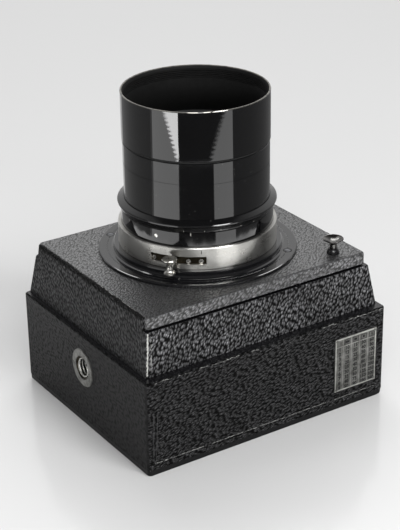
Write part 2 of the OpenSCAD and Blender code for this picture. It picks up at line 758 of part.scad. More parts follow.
// Knob that winds the blind
module winding_knob() color(nickel)
    translate([right_face + knob_gap, wind_y, shaft_z]) rotate([0, 90, 0])
        fluted_knob(wind_knob_r, 9, 24, shaft_r + seat_gap, 6.2);

// Hollow tension roller, turning on the tension shaft
module tension_roller() color(brass_dark) difference() {
    union() {
        rod_x(roller_r, -roller_half, roller_half, -tension_y, shaft_z);
        rod_x(hub_tube_r, roller_half - 1, wheel_x, -tension_y, shaft_z);
        rod_x(hub_tube_r - 1, wheel_x - 1, wheel_x + wheel_t, -tension_y, shaft_z);
    }
    rod_x(shaft_r + run_gap, -side_in - 2, wheel_x + wheel_t + 1, -tension_y, shaft_z);
    rod_x(roller_r - 1.2, -roller_half + 2, roller_half - 2, -tension_y, shaft_z);
}

// Ratchet wheel with saw teeth on the tension roller's hub
module ratchet_wheel() color(brass_dark) difference() {
    teeth = 18;
    translate([wheel_x + seat_gap, -tension_y, shaft_z]) rotate([90, 0, 90])
        linear_extrude(wheel_t - 2*seat_gap) polygon([for (i = [0:teeth - 1])
            let(a = i*360/teeth)
            each [[wheel_r*cos(a), wheel_r*sin(a)],
                  [(wheel_r - 1.3)*cos(a + 2), (wheel_r - 1.3)*sin(a + 2)]]]);
    rod_x(hub_tube_r - 1 + seat_gap, wheel_x - 1, wheel_x + wheel_t + 1, -tension_y, shaft_z);
}

// Shaft through the tension roller that the tension knob sits on
module tension_shaft() color(dull_metal)
    rod_x(shaft_r, -side_in - side_t - 1, right_face + knob_gap + 3.4, -tension_y, shaft_z);

// Low knob that sets the spring's tension
module tension_knob() color(nickel)
    translate([right_face + knob_gap, -tension_y, shaft_z]) rotate([0, 90, 0])
        fluted_knob(tension_knob_r, 4.6, 18, shaft_r + seat_gap, 3.6);

// Lever that the button's stem tips, to free the ratchet wheel
module catch_lever() color(dull_metal)
    translate([wheel_x + seat_gap, catch_y, catch_z]) rotate([90, 0, 90])
        linear_extrude(catch_t - 2*seat_gap) difference() {
            union() {
                circle(r = 2.8, $fn = 48);
                translate([-catch_arm - 1.4, -0.4]) square([catch_arm + 1.4, 2.2]);
                polygon([[-3.9, -8], [-3, -8.4], [2.5, -1], [-2.6, 0]]);
            }
            circle(r = catch_pin_r + run_gap, $fn = 48);
        }

// Pivot pin of the catch lever, riveted in the side plate
module catch_pivot() color(nickel) {
    rod_x(catch_pin_r, side_in, wheel_x + catch_t + 0.4, catch_y, catch_z);
    rod_x(catch_pin_r + 0.7, wheel_x + catch_t + 0.15, wheel_x + catch_t + 0.8, catch_y, catch_z);
    rod_x(catch_pin_r + 0.7, side_in + side_t + seat_gap, wheel_x - 0.15, catch_y, catch_z);
}

// Ring that the lever turns, running on the sliding tube inside the mount
module focus_ring() color(brass_dark) difference() {
    ring(ring_out_r, ring_in_r, ring_z0, ring_z0 + ring_h);
    rotate(lever_a) span([ring_out_r - 1.2, -lever_w/2 - seat_gap, lever_z0 - seat_gap],
                         [ring_out_r + 2, lever_w/2 + seat_gap, lever_z1 + seat_gap]);
    for (a = ring_screw_a) rotate(a) {
        rod_x(1.15, ring_out_r - 0.8, ring_out_r + 2, 0, slot_z - 0.7);
        rod_x(0.6, ring_in_r - 1, ring_out_r + 2, 0, slot_z - 0.7);
    }
}

// Lever through the slot, with its upright waisted finger knob
module focus_lever() color(nickel) rotate(lever_a) {
    span([ring_out_r - 1.15, -lever_w/2, lever_z0], [mount_r + 0.9, lever_w/2, lever_z1]);
    span([mount_r + 0.4, -1.2, lever_z0 + 0.2], [knob_pos, 1.2, lever_z1 - 0.2]);
    translate([knob_pos, 0, slot_z]) rotate_extrude($fn = 64) polygon(concat(
        [[0, -5.1], [2.1, -5.1], [2.7, -4.7], [2.8, -4.2], [2.6, -3.7], [1.9, -3.2]],
        [for (i = [0:6]) let(s = i/6, flare = s > 0.5 ? 1.32 : 0.33)
            [1.35 + flare*(2*s - 1)*(2*s - 1), -2.9 + 4.6*s]],
        [[3.4, 2.1], [3.6, 2.5], [3.6, 2.8], [3.4, 3.05], [2.6, 2.95], [0, 2.75]]));
}

// Small slotted screws in the focusing ring, seen through the slot
module lever_screws() color(nickel) for (a = ring_screw_a) rotate(a) difference() {
    union() {
        rod_x(1.1, ring_out_r - 0.75, ring_out_r - 0.05, 0, slot_z - 0.7);
        rod_x(0.55, ring_in_r + 0.2, ring_out_r - 0.3, 0, slot_z - 0.7);
    }
    translate([ring_out_r - 0.35, 0, slot_z - 0.7]) rotate([40, 0, 0])
        span([0, -2, -0.17], [2, 2, 0.17]);
}

// Sliding tube and sleeve that carry the whole lens
module lens_sleeve() color(black_lacquer) difference() {
    rotate_extrude($fn = 180) polygon([
        [tube_in_r, tube_z0], [tube_r, tube_z0], [tube_r, step_z], [sleeve_r - 0.2, step_z],
        [sleeve_r, step_z + 0.2], [sleeve_r, sleeve_top - 0.15], [sleeve_r - 0.15, sleeve_top],
        [barrel_r + seat_gap, sleeve_top], [barrel_r + seat_gap, barrel_z0 - seat_gap],
        [tube_in_r, barrel_z0 - seat_gap]]);
    for (a = key_a) rotate(a)
        span([key_r0 - 0.12, -key_w/2 - 0.12, tube_z0 - 1], [tube_r + 3, key_w/2 + 0.12, key_z1 + 3]);
    rotate(sleeve_screw_a) rod_x(0.9, sleeve_r - 0.5, sleeve_r + 1, 0, sleeve_top - 3.3);
}

// Barrel, with the slot for the iris link and the fine line under the name band
module lens_barrel() color(black_lacquer) difference() {
    rotate_extrude($fn = 180) difference() {
        polygon([
            [barrel_in_r, barrel_z0], [barrel_r, barrel_z0], [barrel_r, barrel_top - 0.3],
            [barrel_r - 0.3, barrel_top], [barrel_in_r, barrel_top]]);
        translate([barrel_r - 0.14, barrel_top - 10.2]) square([1, 0.28]);
    }
    rotate(link_a - 2) rotate_extrude(angle = iris_turn + 4, $fn = 180)
        translate([barrel_in_r - 2, link_z - link_r - 0.3]) square([5, 2*link_r + 0.6]);
}

// Screw-in lens hood with its thin rim
module lens_hood() color(black_lacquer) rotate_extrude($fn = 180) {
    hood_z = barrel_top + hood_groove_h;
    polygon([
        [hood_in_r - 1.3, barrel_top - 5], [barrel_in_r - seat_gap, barrel_top - 5],
        [barrel_in_r - seat_gap, barrel_top + seat_gap], [hood_r - 0.7, barrel_top + seat_gap],
        [hood_r - 0.7, hood_z], [hood_r - 0.2, hood_z], [hood_r, hood_z + 0.2],
        [hood_r, hood_top - 0.3], [hood_r - 0.2, hood_top], [hood_in_r + 0.4, hood_top],
        [hood_in_r + 0.1, hood_top - 0.6], [hood_in_r, hood_top - 1.4], [hood_in_r, hood_z + 1],
        [hood_in_r - 1.3, hood_z - 0.6]]);
}

// Thick front glass, domed in front and hollow behind
module front_glass() color(glass_tint, 0.5) difference() {
    intersection() {
        translate([0, 0, front_glass_z - 30]) cylinder(r = front_glass_r, h = 40, $fn = 180);
        translate([0, 0, front_glass_z - 70]) sphere(r = 70, $fn = 180);
    }
    translate([0, 0, front_glass_z - 13 - 75]) sphere(r = 75, $fn = 180);
}

// Threaded cell of the front glass, with spanner notches in its retaining rim
module front_cell() color(black_lacquer) difference() {
    drop = 70 - sqrt(70*70 - front_glass_r*front_glass_r);
    edge = front_glass_z - drop;
    base = front_glass_z - 13 - (75 - sqrt(75*75 - front_glass_r*front_glass_r));
    rotate_extrude($fn = 180) polygon([
        [front_glass_r - 1, base - 1.6], [barrel_in_r - 1.4, base - 1.6],
        [barrel_in_r - 1.4, cam_z + cam_t + 0.1], [barrel_in_r - seat_gap, cam_z + cam_t + 0.1],
        [barrel_in_r - seat_gap, edge + 2.5], [front_glass_r + 0.3, edge + 2.5],
        [front_glass_r - 0.5, edge + 1.7], [front_glass_r - 0.5, edge + 0.7],
        [front_glass_r + seat_gap, edge + 0.5], [front_glass_r + seat_gap, base - 0.1],
        [front_glass_r - 1, base - 0.1]]);
    for (a = [20, 200]) rotate(a) span([front_glass_r - 2, -0.8, edge + 1.5],
                                       [barrel_in_r - 1, 0.8, edge + 4]);
}

// Rear glass in the sliding tube
module rear_glass() color(glass_tint, 0.5) intersection() {
    translate([0, 0, rear_glass_z - 20]) cylinder(r = rear_glass_r, h = 30, $fn = 180);
    translate([0, 0, rear_glass_z - 60]) sphere(r = 60, $fn = 180);
    translate([0, 0, rear_glass_z - 12 + 90]) sphere(r = 90, $fn = 180);
}

// Cell that holds the rear glass
module rear_cell() color(black_lacquer) rotate_extrude($fn = 180) {
    top_edge = rear_glass_z - 60 + sqrt(60*60 - rear_glass_r*rear_glass_r);
    low_edge = rear_glass_z - 12 + 90 - sqrt(90*90 - rear_glass_r*rear_glass_r);
    polygon([
        [rear_glass_r - 0.8, low_edge - 5], [tube_in_r - seat_gap, low_edge - 5],
        [tube_in_r - seat_gap, top_edge + 8], [rear_glass_r + 3, top_edge + 8],
        [rear_glass_r - 0.6, top_edge + 1.6], [rear_glass_r - 0.6, top_edge + 0.5],
        [rear_glass_r + seat_gap, top_edge + 0.5], [rear_glass_r + seat_gap, low_edge - 0.35],
        [rear_glass_r - 0.8, low_edge - 0.35]]);
}

// Fixed ring of the iris, drilled for the blades' pivot studs
module iris_base() color(black_lacquer) difference() {
    ring(barrel_in_r - seat_gap, iris_open_r + 0.2, iris_base_z, iris_base_z + iris_base_t);
    for (i = [0:blade_count - 1]) rotate(i*360/blade_count)
        translate([blade_pivot_r, 0, iris_base_z - 1]) cylinder(r = stud_r + 0.05, h = 4, $fn = 32);
}

// Outline of one blade, with its pivot on the +X axis and its ear for the drive stud
module blade_outline() {
    span_a = 105;
    mid_r = (iris_open_r + blade_out_r)/2;
    difference() {
        intersection() {
            circle(r = blade_out_r, $fn = 180);
            polygon([[0, 0], for (a = [-1.5, 30, 60, 90, span_a]) [60*cos(a), 60*sin(a)]]);
        }
        circle(r = iris_open_r, $fn = 180);
    }
    rotate(span_a) translate([mid_r, 0]) circle(r = (blade_out_r - iris_open_r)/2 - 0.15, $fn = 48);
    difference() {
        intersection() {
            circle(r = blade_pivot_r + ear_r - 0.2, $fn = 180);
            polygon([[0, 0], for (a = [0, arm_a]) [60*cos(a), 60*sin(a)]]);
        }
        circle(r = blade_out_r - 1, $fn = 180);
    }
    for (a = [0, arm_a]) rotate(a) translate([blade_pivot_r, 0]) circle(r = ear_r, $fn = 32);
}

// One iris blade with its pivot stud below and its drive stud above
module iris_blade(i) color(dull_metal) rotate(i*360/blade_count) {
    z = blades_z + i*blade_pitch;
    translate([0, 0, z]) linear_extrude(blade_t) blade_outline();
    translate([blade_pivot_r, 0, iris_base_z + 0.2])
        cylinder(r = stud_r, h = z - iris_base_z - 0.1, $fn = 32);
    rotate(arm_a) translate([blade_pivot_r, 0, z])
        cylinder(r = stud_r, h = cam_z + cam_t - 0.2 - z, $fn = 32);
}

// Where a blade's drive stud lies in the cam ring at a share t of the turn
function stud_in_cam(t) =
    let(swing = blade_swing*t, turn = iris_turn*t,
        ax = blade_pivot_r*(cos(arm_a) - 1), ay = blade_pivot_r*sin(arm_a),
        x = blade_pivot_r + ax*cos(swing) - ay*sin(swing),
        y = ax*sin(swing) + ay*cos(swing))
    [x*cos(turn) + y*sin(turn), y*cos(turn) - x*sin(turn)];

// Outline of one cam slot, the stud's path widened by its radius and a clearance
module cam_slot() {
    half = stud_r + 0.12;
    n = 12;
    function side(t, s) = let(p = stud_in_cam(t), q = stud_in_cam(t + 0.01), d = q - p)
        p + s*half*[-d[1], d[0]]/norm(d);
    polygon([for (i = [0:n]) side(i/n, 1), for (i = [n:-1:0]) side(i/n, -1)]);
    for (t = [0, 1]) translate(stud_in_cam(t)) circle(r = half, $fn = 32);
}

// Ring whose curved slots swing the blades
module iris_cam_ring() color(brass_dark) difference() {
    ring(cam_r, iris_open_r + 1.4, cam_z, cam_z + cam_t);
    translate([0, 0, cam_z - 1]) linear_extrude(cam_t + 2)
        for (i = [0:blade_count - 1]) rotate(i*360/blade_count) cam_slot();
    rotate(link_a) rod_x(link_r + seat_gap, cam_r - 1.7, cam_r + 2, 0, link_z);
}

// Flared iris ring outside the barrel, with the link pin that turns the cam ring
module iris_ring() color(black_lacquer) {
    rotate_extrude($fn = 180) polygon([
        [barrel_r + run_gap, iris_ring_z], [sleeve_r - 0.1, iris_ring_z],
        [sleeve_r + 0.05, iris_ring_z + 0.3], [sleeve_r + 0.2, iris_ring_z + 0.9],
        [lip_r - 1.1, iris_ring_z + 2], [lip_r - 0.25, iris_ring_z + 2.7],
        [lip_r, iris_ring_z + 3.2], [lip_r, iris_ring_z + 3.7],
        [lip_r - 0.25, iris_ring_z + 4], [barrel_r + 0.7, iris_ring_z + 5.2],
        [barrel_r + 0.35, iris_ring_z + 5.4], [barrel_r + run_gap, iris_ring_z + 5.4]]);
    rotate(link_a) rod_x(link_r, cam_r - 1.5, barrel_r + 1, 0, link_z);
}

// Sliding frame that carries the ground glass
module focusing_back() color(black_lacquer) round_back(0.3) difference() {
    union() {
        span([slide_x0, -slide_dep/2, slide_z], [right_face - 0.3, slide_dep/2, slide_top]);
        span([pocket_x0 + 3 + slide_gap, -border_dep/2, 0.1],
             [right_face - 0.3, border_dep/2, slide_z]);
    }
    span([-gate_len/2, -gate_dep/2, -1], [gate_len/2, gate_dep/2, 9]);
    span([-glass_len/2 - 0.1, -glass_dep/2 - 0.1, glass_z - seat_gap],
         [glass_len/2 + 0.1, glass_dep/2 + 0.1, 9]);
    span([-lid_len/2 - slide_gap, -lid_dep/2 - 0.3, -1],
         [lid_len/2 + slide_gap, lid_dep/2 + 0.3, slide_z]);
    span([-lid_len/2 - slide_gap, lid_pin_y - 1.05, -1],
         [lid_len/2 + slide_gap, lid_pin_y + 1.4, lid_pin_z + 1.05]);
    rod_x(lid_pin_r + seat_gap, -lid_len/2 - 2.3, lid_len/2 + 2.3, lid_pin_y, lid_pin_z);
}

// Ground glass in its rebate
module ground_glass() color(glass_tint, 0.6)
    span([-glass_len/2, -glass_dep/2, glass_z], [glass_len/2, glass_dep/2, slide_top - 0.1]);

// Lid over the ground glass, rolled round its hinge pin at one long edge
module screen_lid() color(black_lacquer) difference() {
    union() {
        linear_extrude(lid_t) round_rect(lid_len, lid_dep, 1.5);
        span([-lid_len/2 + 1.5, lid_pin_y, 0], [lid_len/2 - 1.5, lid_pin_y + 4, lid_t]);
        rod_x(lid_roll_r, -lid_len/2 + 1.5, lid_len/2 - 1.5, lid_pin_y, lid_pin_z);
    }
    rod_x(lid_pin_r + run_gap, -lid_len/2 - 1, lid_len/2 + 1, lid_pin_y, lid_pin_z);
    translate([0, lid_dep/2 + 5, -1]) cylinder(r = 8, h = 4);
}

// Hinge pin of the lid
module lid_pin() color(nickel)
    rod_x(lid_pin_r, -lid_len/2 - 2.1, lid_len/2 + 2.1, lid_pin_y, lid_pin_z);

// Turning latch, shown open. Turned down, its finger stops the focusing back
module back_latch() color(nickel) {
    x = right_face + seat_gap;
    difference() {
        union() {
            rod_x(3, x, x + 1, 0, latch_z);
            span([x, 0, latch_z - 1.6], [x + 0.8, 8.2, latch_z + 1.6]);
            translate([0, 8.2, 0]) rod_x(1.6, x, x + 0.8, 0, latch_z);
        }
        span([x + 0.6, -5, latch_z - 0.25], [x + 2, 1.8, latch_z + 0.25]);
    }
    rod_x(latch_pin_r, right_room - 1.5, x + 0.3, 0, latch_z);
}

// Base plate of the folding finder, with its hinge ears
module finder_base() color(black_lacquer) difference() {
    union() {
        span([-20, far_side + seat_gap, finder_z0], [20, far_side + 1, finder_z1]);
        for (side = [-1, 1]) {
            translate([side*10.8 - 1.2, 0, 0])
                span([0, far_side + 0.5, finder_hinge_z - 1.5],
                     [2.4, finder_y + 1.1, finder_hinge_z + 1.5]);
            translate([side*4 - 1, 0, 0])
                span([0, far_side + 0.5, sight_hinge_z - 1.5], [2, finder_y + 1.1, sight_hinge_z + 1.5]);
        }
    }
    rod_x(finder_pin_r + 0.06, -15, 15, finder_y, finder_hinge_z);
    rod_x(finder_pin_r + 0.06, -8, 8, finder_y, sight_hinge_z);
}

// Front frame of the finder, folded flat over the base
module finder_frame() color(nickel) {
    z1 = finder_hinge_z - 2.2;
    z0 = finder_hinge_z - 23;
    difference() {
        union() {
            span([-17, finder_y - 0.7, z0], [17, finder_y + 0.7, z1]);
            span([-9.3, finder_y - 0.7, z1 - 1], [9.3, finder_y + 0.7, finder_hinge_z]);
            rod_x(1.1, -9.3, 9.3, finder_y, finder_hinge_z);
            rod_x(finder_pin_r, -12.2, 12.2, finder_y, finder_hinge_z);
        }
        span([-14.4, finder_y - 2, z0 + 2], [14.4, finder_y + 2, z1 - 1.6]);
    }
}

// Glass of the finder
module finder_lens() color(glass_tint, 0.5)
    span([-14.35, finder_y - 0.5, finder_hinge_z - 20.95],
         [14.35, finder_y + 0.5, finder_hinge_z - 3.85]);

// Rear peep sight of the finder, folded flat
module finder_sight() color(nickel) difference() {
    union() {
        span([-5, finder_y - 0.6, sight_hinge_z + 2.2], [5, finder_y + 0.6, sight_hinge_z + 10.6]);
        span([-2.7, finder_y - 0.6, sight_hinge_z], [2.7, finder_y + 0.6, sight_hinge_z + 3]);
        rod_x(1.1, -2.7, 2.7, finder_y, sight_hinge_z);
        rod_x(finder_pin_r, -4.9, 4.9, finder_y, sight_hinge_z);
    }
    rod_y(1.3, 0, finder_y - 3, finder_y + 3, sight_hinge_z + 6.6);
}

rear_shell();
rear_leather();
back_frame();
front_shell();
skirt_leather();
front_leather();
lens_flange();
flange_screws();
focus_housing();
guide_keys();
tripod_plate();
tripod_bush();
tripod_screws();
speed_table();
table_pins();
gate_plate();
side_plates();
shutter_blind();
button_bush();
button_spring();
frame_screws();
winding_roller();
winding_knob();
ratchet_wheel();
tension_roller();
tension_shaft();
tension_knob();
catch_lever();
catch_pivot();
release_button();
focus_ring();
focus_lever();
lever_screws();
lens_sleeve();
lens_barrel();
lens_hood();
front_glass();
front_cell();
rear_glass();
rear_cell();
iris_base();
iris_ring();
iris_cam_ring();
iris_blade(0);  // iris_blade_1
iris_blade(1);  // iris_blade_2
iris_blade(2);  // iris_blade_3
iris_blade(3);  // iris_blade_4
iris_blade(4);  // iris_blade_5
iris_blade(5);  // iris_blade_6
iris_blade(6);  // iris_blade_7
iris_blade(7);  // iris_blade_8
focusing_back();
ground_glass();
screen_lid();
lid_pin();
back_latch();
finder_base();
finder_frame();
finder_lens();
finder_sight();
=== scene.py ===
"""Looks of a plate camera that lies on its back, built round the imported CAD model."""
import json
import math
import random

import bmesh
import bpy
from mathutils import Matrix, Vector


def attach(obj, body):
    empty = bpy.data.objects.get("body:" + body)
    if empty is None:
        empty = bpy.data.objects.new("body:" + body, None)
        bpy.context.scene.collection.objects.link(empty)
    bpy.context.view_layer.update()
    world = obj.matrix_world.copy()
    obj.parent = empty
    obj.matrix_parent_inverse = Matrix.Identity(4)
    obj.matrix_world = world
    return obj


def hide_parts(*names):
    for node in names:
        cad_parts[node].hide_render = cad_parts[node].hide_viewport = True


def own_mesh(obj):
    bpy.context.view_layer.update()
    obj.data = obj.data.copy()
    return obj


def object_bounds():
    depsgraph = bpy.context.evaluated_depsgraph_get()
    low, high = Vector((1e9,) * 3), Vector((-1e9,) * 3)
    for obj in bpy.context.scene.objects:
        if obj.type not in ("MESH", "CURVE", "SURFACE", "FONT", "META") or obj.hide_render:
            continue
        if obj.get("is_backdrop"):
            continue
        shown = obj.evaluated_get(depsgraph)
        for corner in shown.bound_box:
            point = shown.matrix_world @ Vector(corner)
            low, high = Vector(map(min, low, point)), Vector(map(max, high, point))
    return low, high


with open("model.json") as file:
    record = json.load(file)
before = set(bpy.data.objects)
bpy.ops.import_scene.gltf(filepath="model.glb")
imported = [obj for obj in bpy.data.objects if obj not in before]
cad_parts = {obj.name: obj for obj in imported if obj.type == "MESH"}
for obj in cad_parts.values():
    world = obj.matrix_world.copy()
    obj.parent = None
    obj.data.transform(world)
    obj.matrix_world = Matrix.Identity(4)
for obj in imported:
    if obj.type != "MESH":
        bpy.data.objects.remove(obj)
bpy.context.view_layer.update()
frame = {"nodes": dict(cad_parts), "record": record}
MM = 0.001


def linear(hex_colour):
    """Turns an sRGB hex colour into the linear values that Blender's sockets take."""
    parts = [int(hex_colour[i:i + 2], 16) / 255 for i in (1, 3, 5)]
    return tuple(c / 12.92 if c <= 0.04045 else ((c + 0.055) / 1.055) ** 2.4 for c in parts) + (1.0,)


def add(tree, kind, inputs=None, **settings):
    """Adds a node, sets its properties and fills its inputs with values or with other nodes' outputs."""
    made = tree.nodes.new(kind)
    for name, value in settings.items():
        setattr(made, name, value)
    for name, value in (inputs or {}).items():
        if isinstance(value, bpy.types.NodeSocket):
            tree.links.new(value, made.inputs[name])
        else:
            made.inputs[name].default_value = value
    return made


def material(name, **shader):
    """A new material: its shader with the constants on its own sockets, and object coordinates in mm."""
    made = bpy.data.materials.new(name)
    made.use_nodes = True
    tree = made.node_tree
    tree.nodes.clear()
    surface = add(tree, "ShaderNodeBsdfPrincipled")
    for socket, value in shader.items():
        surface.inputs[socket.replace("_", " ")].default_value = value
    add(tree, "ShaderNodeOutputMaterial", {"Surface": surface.outputs["BSDF"]})
    here = add(tree, "ShaderNodeTexCoord")
    where = add(tree, "ShaderNodeVectorMath", {0: here.outputs["Object"], 1: (1 / MM,) * 3},
                operation="MULTIPLY")
    return made, tree, surface, where.outputs["Vector"]


def wiped_gloss(tree, where, low, high):
    """Roughness of a glossy coat. Old wipe marks, some 12 mm across, change it between low and high."""
    smear = add(tree, "ShaderNodeTexNoise", {"Vector": where, "Scale": 0.08, "Detail": 6.0,
                                             "Roughness": 0.65})
    gloss = add(tree, "ShaderNodeMapRange", {"Value": smear.outputs["Fac"], "From Min": 0.35,
                                             "From Max": 0.75, "To Min": low, "To Max": high})
    return gloss.outputs["Result"]


def relief(tree, surface, height, depth):
    """Bumps a surface. height runs from 0 to 1, and depth is how high that is in metres."""
    step = add(tree, "ShaderNodeMath", {0: height, 1: depth}, operation="MULTIPLY")
    bump = add(tree, "ShaderNodeBump", {"Height": step.outputs["Value"], "Distance": 1.0})
    tree.links.new(bump.outputs["Normal"], surface.inputs["Normal"])
    return bump.outputs["Normal"]


# Leather

# A face counts as looking along an axis when its normal's share along it is above this
SQUARE_ON = 0.7


def pebbles(tree, flat, grain, slant, length):
    """Height of a pebbled grain, 0 in the creases and 1 on the crowns, and a random value for each pebble.

    flat is a place on the skin in mm, grain a pebble's width, length how many widths long it is, and slant
    the angle of its long side in degrees.
    """
    stray = add(tree, "ShaderNodeTexNoise", {"Vector": flat, "Scale": 0.25 / grain, "Detail": 1.0})
    drift = add(tree, "ShaderNodeVectorMath", {0: stray.outputs["Color"], 1: (grain * 0.9,) * 3},
                operation="MULTIPLY")
    bent = add(tree, "ShaderNodeVectorMath", {0: flat, 1: drift.outputs["Vector"]}, operation="ADD")
    along = add(tree, "ShaderNodeMapping", {"Vector": bent.outputs["Vector"],
                                            "Rotation": (0, 0, math.radians(slant)),
                                            "Scale": (length, 1, 1)}, vector_type="TEXTURE")
    cell = add(tree, "ShaderNodeTexVoronoi", {"Vector": along.outputs["Vector"], "Scale": 1 / grain,
                                              "Randomness": 0.9}, voronoi_dimensions="2D")
    squared = add(tree, "ShaderNodeMath", {0: cell.outputs["Distance"], 1: 2.0}, operation="POWER")
    crown = add(tree, "ShaderNodeMapRange", {"Value": squared.outputs["Value"], "From Min": 0.44,
                                             "From Max": 0.0})
    chance = add(tree, "ShaderNodeSeparateColor", {"Color": cell.outputs["Color"]})
    return crown.outputs["Result"], chance.outputs["Red"]


def leather(name, grain, depth, slant, length, shine, film, level, dry, tones, calm):
    """Black-dyed goatskin, plated: crowns are greyer and carry a glossy film, creases are near black.

    The crowns' grey is partly rubbed wear and partly painted highlight, lighter on a side than on a face
    that looks up, and the creases' near black is painted shade. The real pebbles are 0.8 to 1.5 mm wide,
    and the render can't show less than about 1 mm. The pores on them are 0.7 mm apart, and the rubbed
    patches some 17 mm wide. grain, slant and length are those of pebbles(), and depth is a pebble's height
    in mm, more than it is in the real skin, because at one or two pixels to a pebble less doesn't show.
    level is the skin's specular level and dry the roughness of a crown, film and shine are the weight and
    roughness of the film on it. tones are the creases and crowns of a face that looks up, then those of a
    side: painted shade and painted highlight over the skin's black and rubbed grey. calm is the share of
    the relief left on the faces that look along X, where the skin is smoother and dull, and where an even
    dark tone takes the place of most of the painted highlight and shade.
    """
    made, tree, surface, where = material(name, IOR=1.5, Specular_IOR_Level=level, Coat_IOR=1.5,
                                          Coat_Roughness=shine)
    outward = add(tree, "ShaderNodeVectorMath", {0: add(tree, "ShaderNodeTexCoord").outputs["Normal"]},
                  operation="ABSOLUTE")
    facing = add(tree, "ShaderNodeSeparateXYZ", {"Vector": outward.outputs["Vector"]})
    short_side = add(tree, "ShaderNodeMath", {0: facing.outputs["X"], 1: SQUARE_ON},
                     operation="GREATER_THAN")
    upward = add(tree, "ShaderNodeMath", {0: facing.outputs["Z"], 1: SQUARE_ON}, operation="GREATER_THAN")
    xyz = add(tree, "ShaderNodeSeparateXYZ", {"Vector": where})
    run = add(tree, "ShaderNodeMix", {"Factor": short_side.outputs["Value"], "A": xyz.outputs["X"],
                                      "B": xyz.outputs["Y"]})
    rise = add(tree, "ShaderNodeMix", {"Factor": upward.outputs["Value"], "A": xyz.outputs["Z"],
                                       "B": xyz.outputs["Y"]})
    flat = add(tree, "ShaderNodeCombineXYZ", {"X": run.outputs["Result"], "Y": rise.outputs["Result"]})
    crown, chance = pebbles(tree, flat.outputs["Vector"], grain, slant, length)
    fine = add(tree, "ShaderNodeTexNoise", {"Vector": where, "Scale": 1.4, "Detail": 2.0,
                                            "Roughness": 0.6})
    height = add(tree, "ShaderNodeMath", {0: fine.outputs["Fac"], 1: 0.15, 2: crown},
                 operation="MULTIPLY_ADD")
    calmer = add(tree, "ShaderNodeMapRange", {"Value": short_side.outputs["Value"], "To Min": depth * MM,
                                              "To Max": depth * calm * MM})
    bumped = relief(tree, surface, height.outputs["Value"], calmer.outputs["Result"])
    tree.links.new(bumped, surface.inputs["Coat Normal"])

    # The rubbed patches and each pebble's random share set how grey a crown is: rubbed wear and painted
    # highlight together
    patches = add(tree, "ShaderNodeTexNoise", {"Vector": where, "Scale": 0.06, "Detail": 5.0,
                                               "Roughness": 0.6})
    rubbed = add(tree, "ShaderNodeMapRange", {"Value": patches.outputs["Fac"], "From Min": 0.35,
                                              "From Max": 0.7, "To Min": 0.5, "To Max": 1.0})
    peak = add(tree, "ShaderNodeMath", {0: crown, 1: 2.0}, operation="POWER")
    seldom = add(tree, "ShaderNodeMath", {0: chance, 1: 2.0}, operation="POWER")
    uneven = add(tree, "ShaderNodeMapRange", {"Value": seldom.outputs["Value"], "To Min": 0.35,
                                              "To Max": 1.0})
    share = add(tree, "ShaderNodeMath", {0: rubbed.outputs["Result"], 1: uneven.outputs["Result"]},
                operation="MULTIPLY")
    worn = add(tree, "ShaderNodeMath", {0: peak.outputs["Value"], 1: share.outputs["Value"]},
               operation="MULTIPLY")
    # Painted shade in the creases and painted highlight on the crowns, the highlight lighter on a side than
    # on a face that looks up
    crease_shade = add(tree, "ShaderNodeMix", {"Factor": upward.outputs["Value"], "A": linear(tones[2]),
                                         "B": linear(tones[0])}, data_type="RGBA")
    light = add(tree, "ShaderNodeMix", {"Factor": upward.outputs["Value"], "A": linear(tones[3]),
                                        "B": linear(tones[1])}, data_type="RGBA")
    tone = add(tree, "ShaderNodeMix", {"Factor": worn.outputs["Value"], "A": crease_shade.outputs["Result"],
                                       "B": light.outputs["Result"]}, data_type="RGBA")
    # On the faces that look along X an even dark tone takes the place of most of the painted highlight and
    # shade
    smoother = add(tree, "ShaderNodeMath", {0: short_side.outputs["Value"], 1: 1 - calm * 0.5},
                   operation="MULTIPLY")
    even = add(tree, "ShaderNodeMix", {"Factor": smoother.outputs["Value"], "A": tone.outputs["Result"],
                                       "B": linear("#0e0e0f")}, data_type="RGBA")
    tree.links.new(even.outputs["Result"], surface.inputs["Base Color"])

    gloss = add(tree, "ShaderNodeMix", {"Factor": crown, "A": dry + 0.3, "B": dry})
    tree.links.new(gloss.outputs["Result"], surface.inputs["Roughness"])
    lively = add(tree, "ShaderNodeMapRange", {"Value": chance, "To Min": film * 0.5, "To Max": film})
    plated = add(tree, "ShaderNodeMath", {0: peak.outputs["Value"], 1: lively.outputs["Result"]},
                 operation="MULTIPLY")
    film_here = add(tree, "ShaderNodeMix", {"Factor": smoother.outputs["Value"],
                                            "A": plated.outputs["Value"], "B": 0.16})
    tree.links.new(film_here.outputs["Result"], surface.inputs["Coat Weight"])
    return made


def pared_edge(name, tone, worn):
    """Cut and rubbed edge of leather: dry and uneven, greyish over the worn share, which is partly bare
    fibre where the dye has gone and partly painted highlight where the edge catches the light.

    Its bundles of fibre are about 1 mm long.
    """
    made, tree, surface, where = material(name, IOR=1.5)
    fibre = add(tree, "ShaderNodeTexNoise", {"Vector": where, "Scale": 0.9, "Detail": 5.0,
                                             "Roughness": 0.7})
    share = add(tree, "ShaderNodeMapRange", {"Value": fibre.outputs["Fac"], "From Min": 0.75 - worn,
                                              "From Max": 0.97 - worn})
    colour = add(tree, "ShaderNodeMix", {"Factor": share.outputs["Result"], "A": linear("#0a0a0b"),
                                         "B": linear(tone)}, data_type="RGBA")
    tree.links.new(colour.outputs["Result"], surface.inputs["Base Color"])
    gloss = add(tree, "ShaderNodeMapRange", {"Value": fibre.outputs["Fac"], "To Min": 0.7, "To Max": 0.35})
    tree.links.new(gloss.outputs["Result"], surface.inputs["Roughness"])
    return made


# Metal, paint and glass

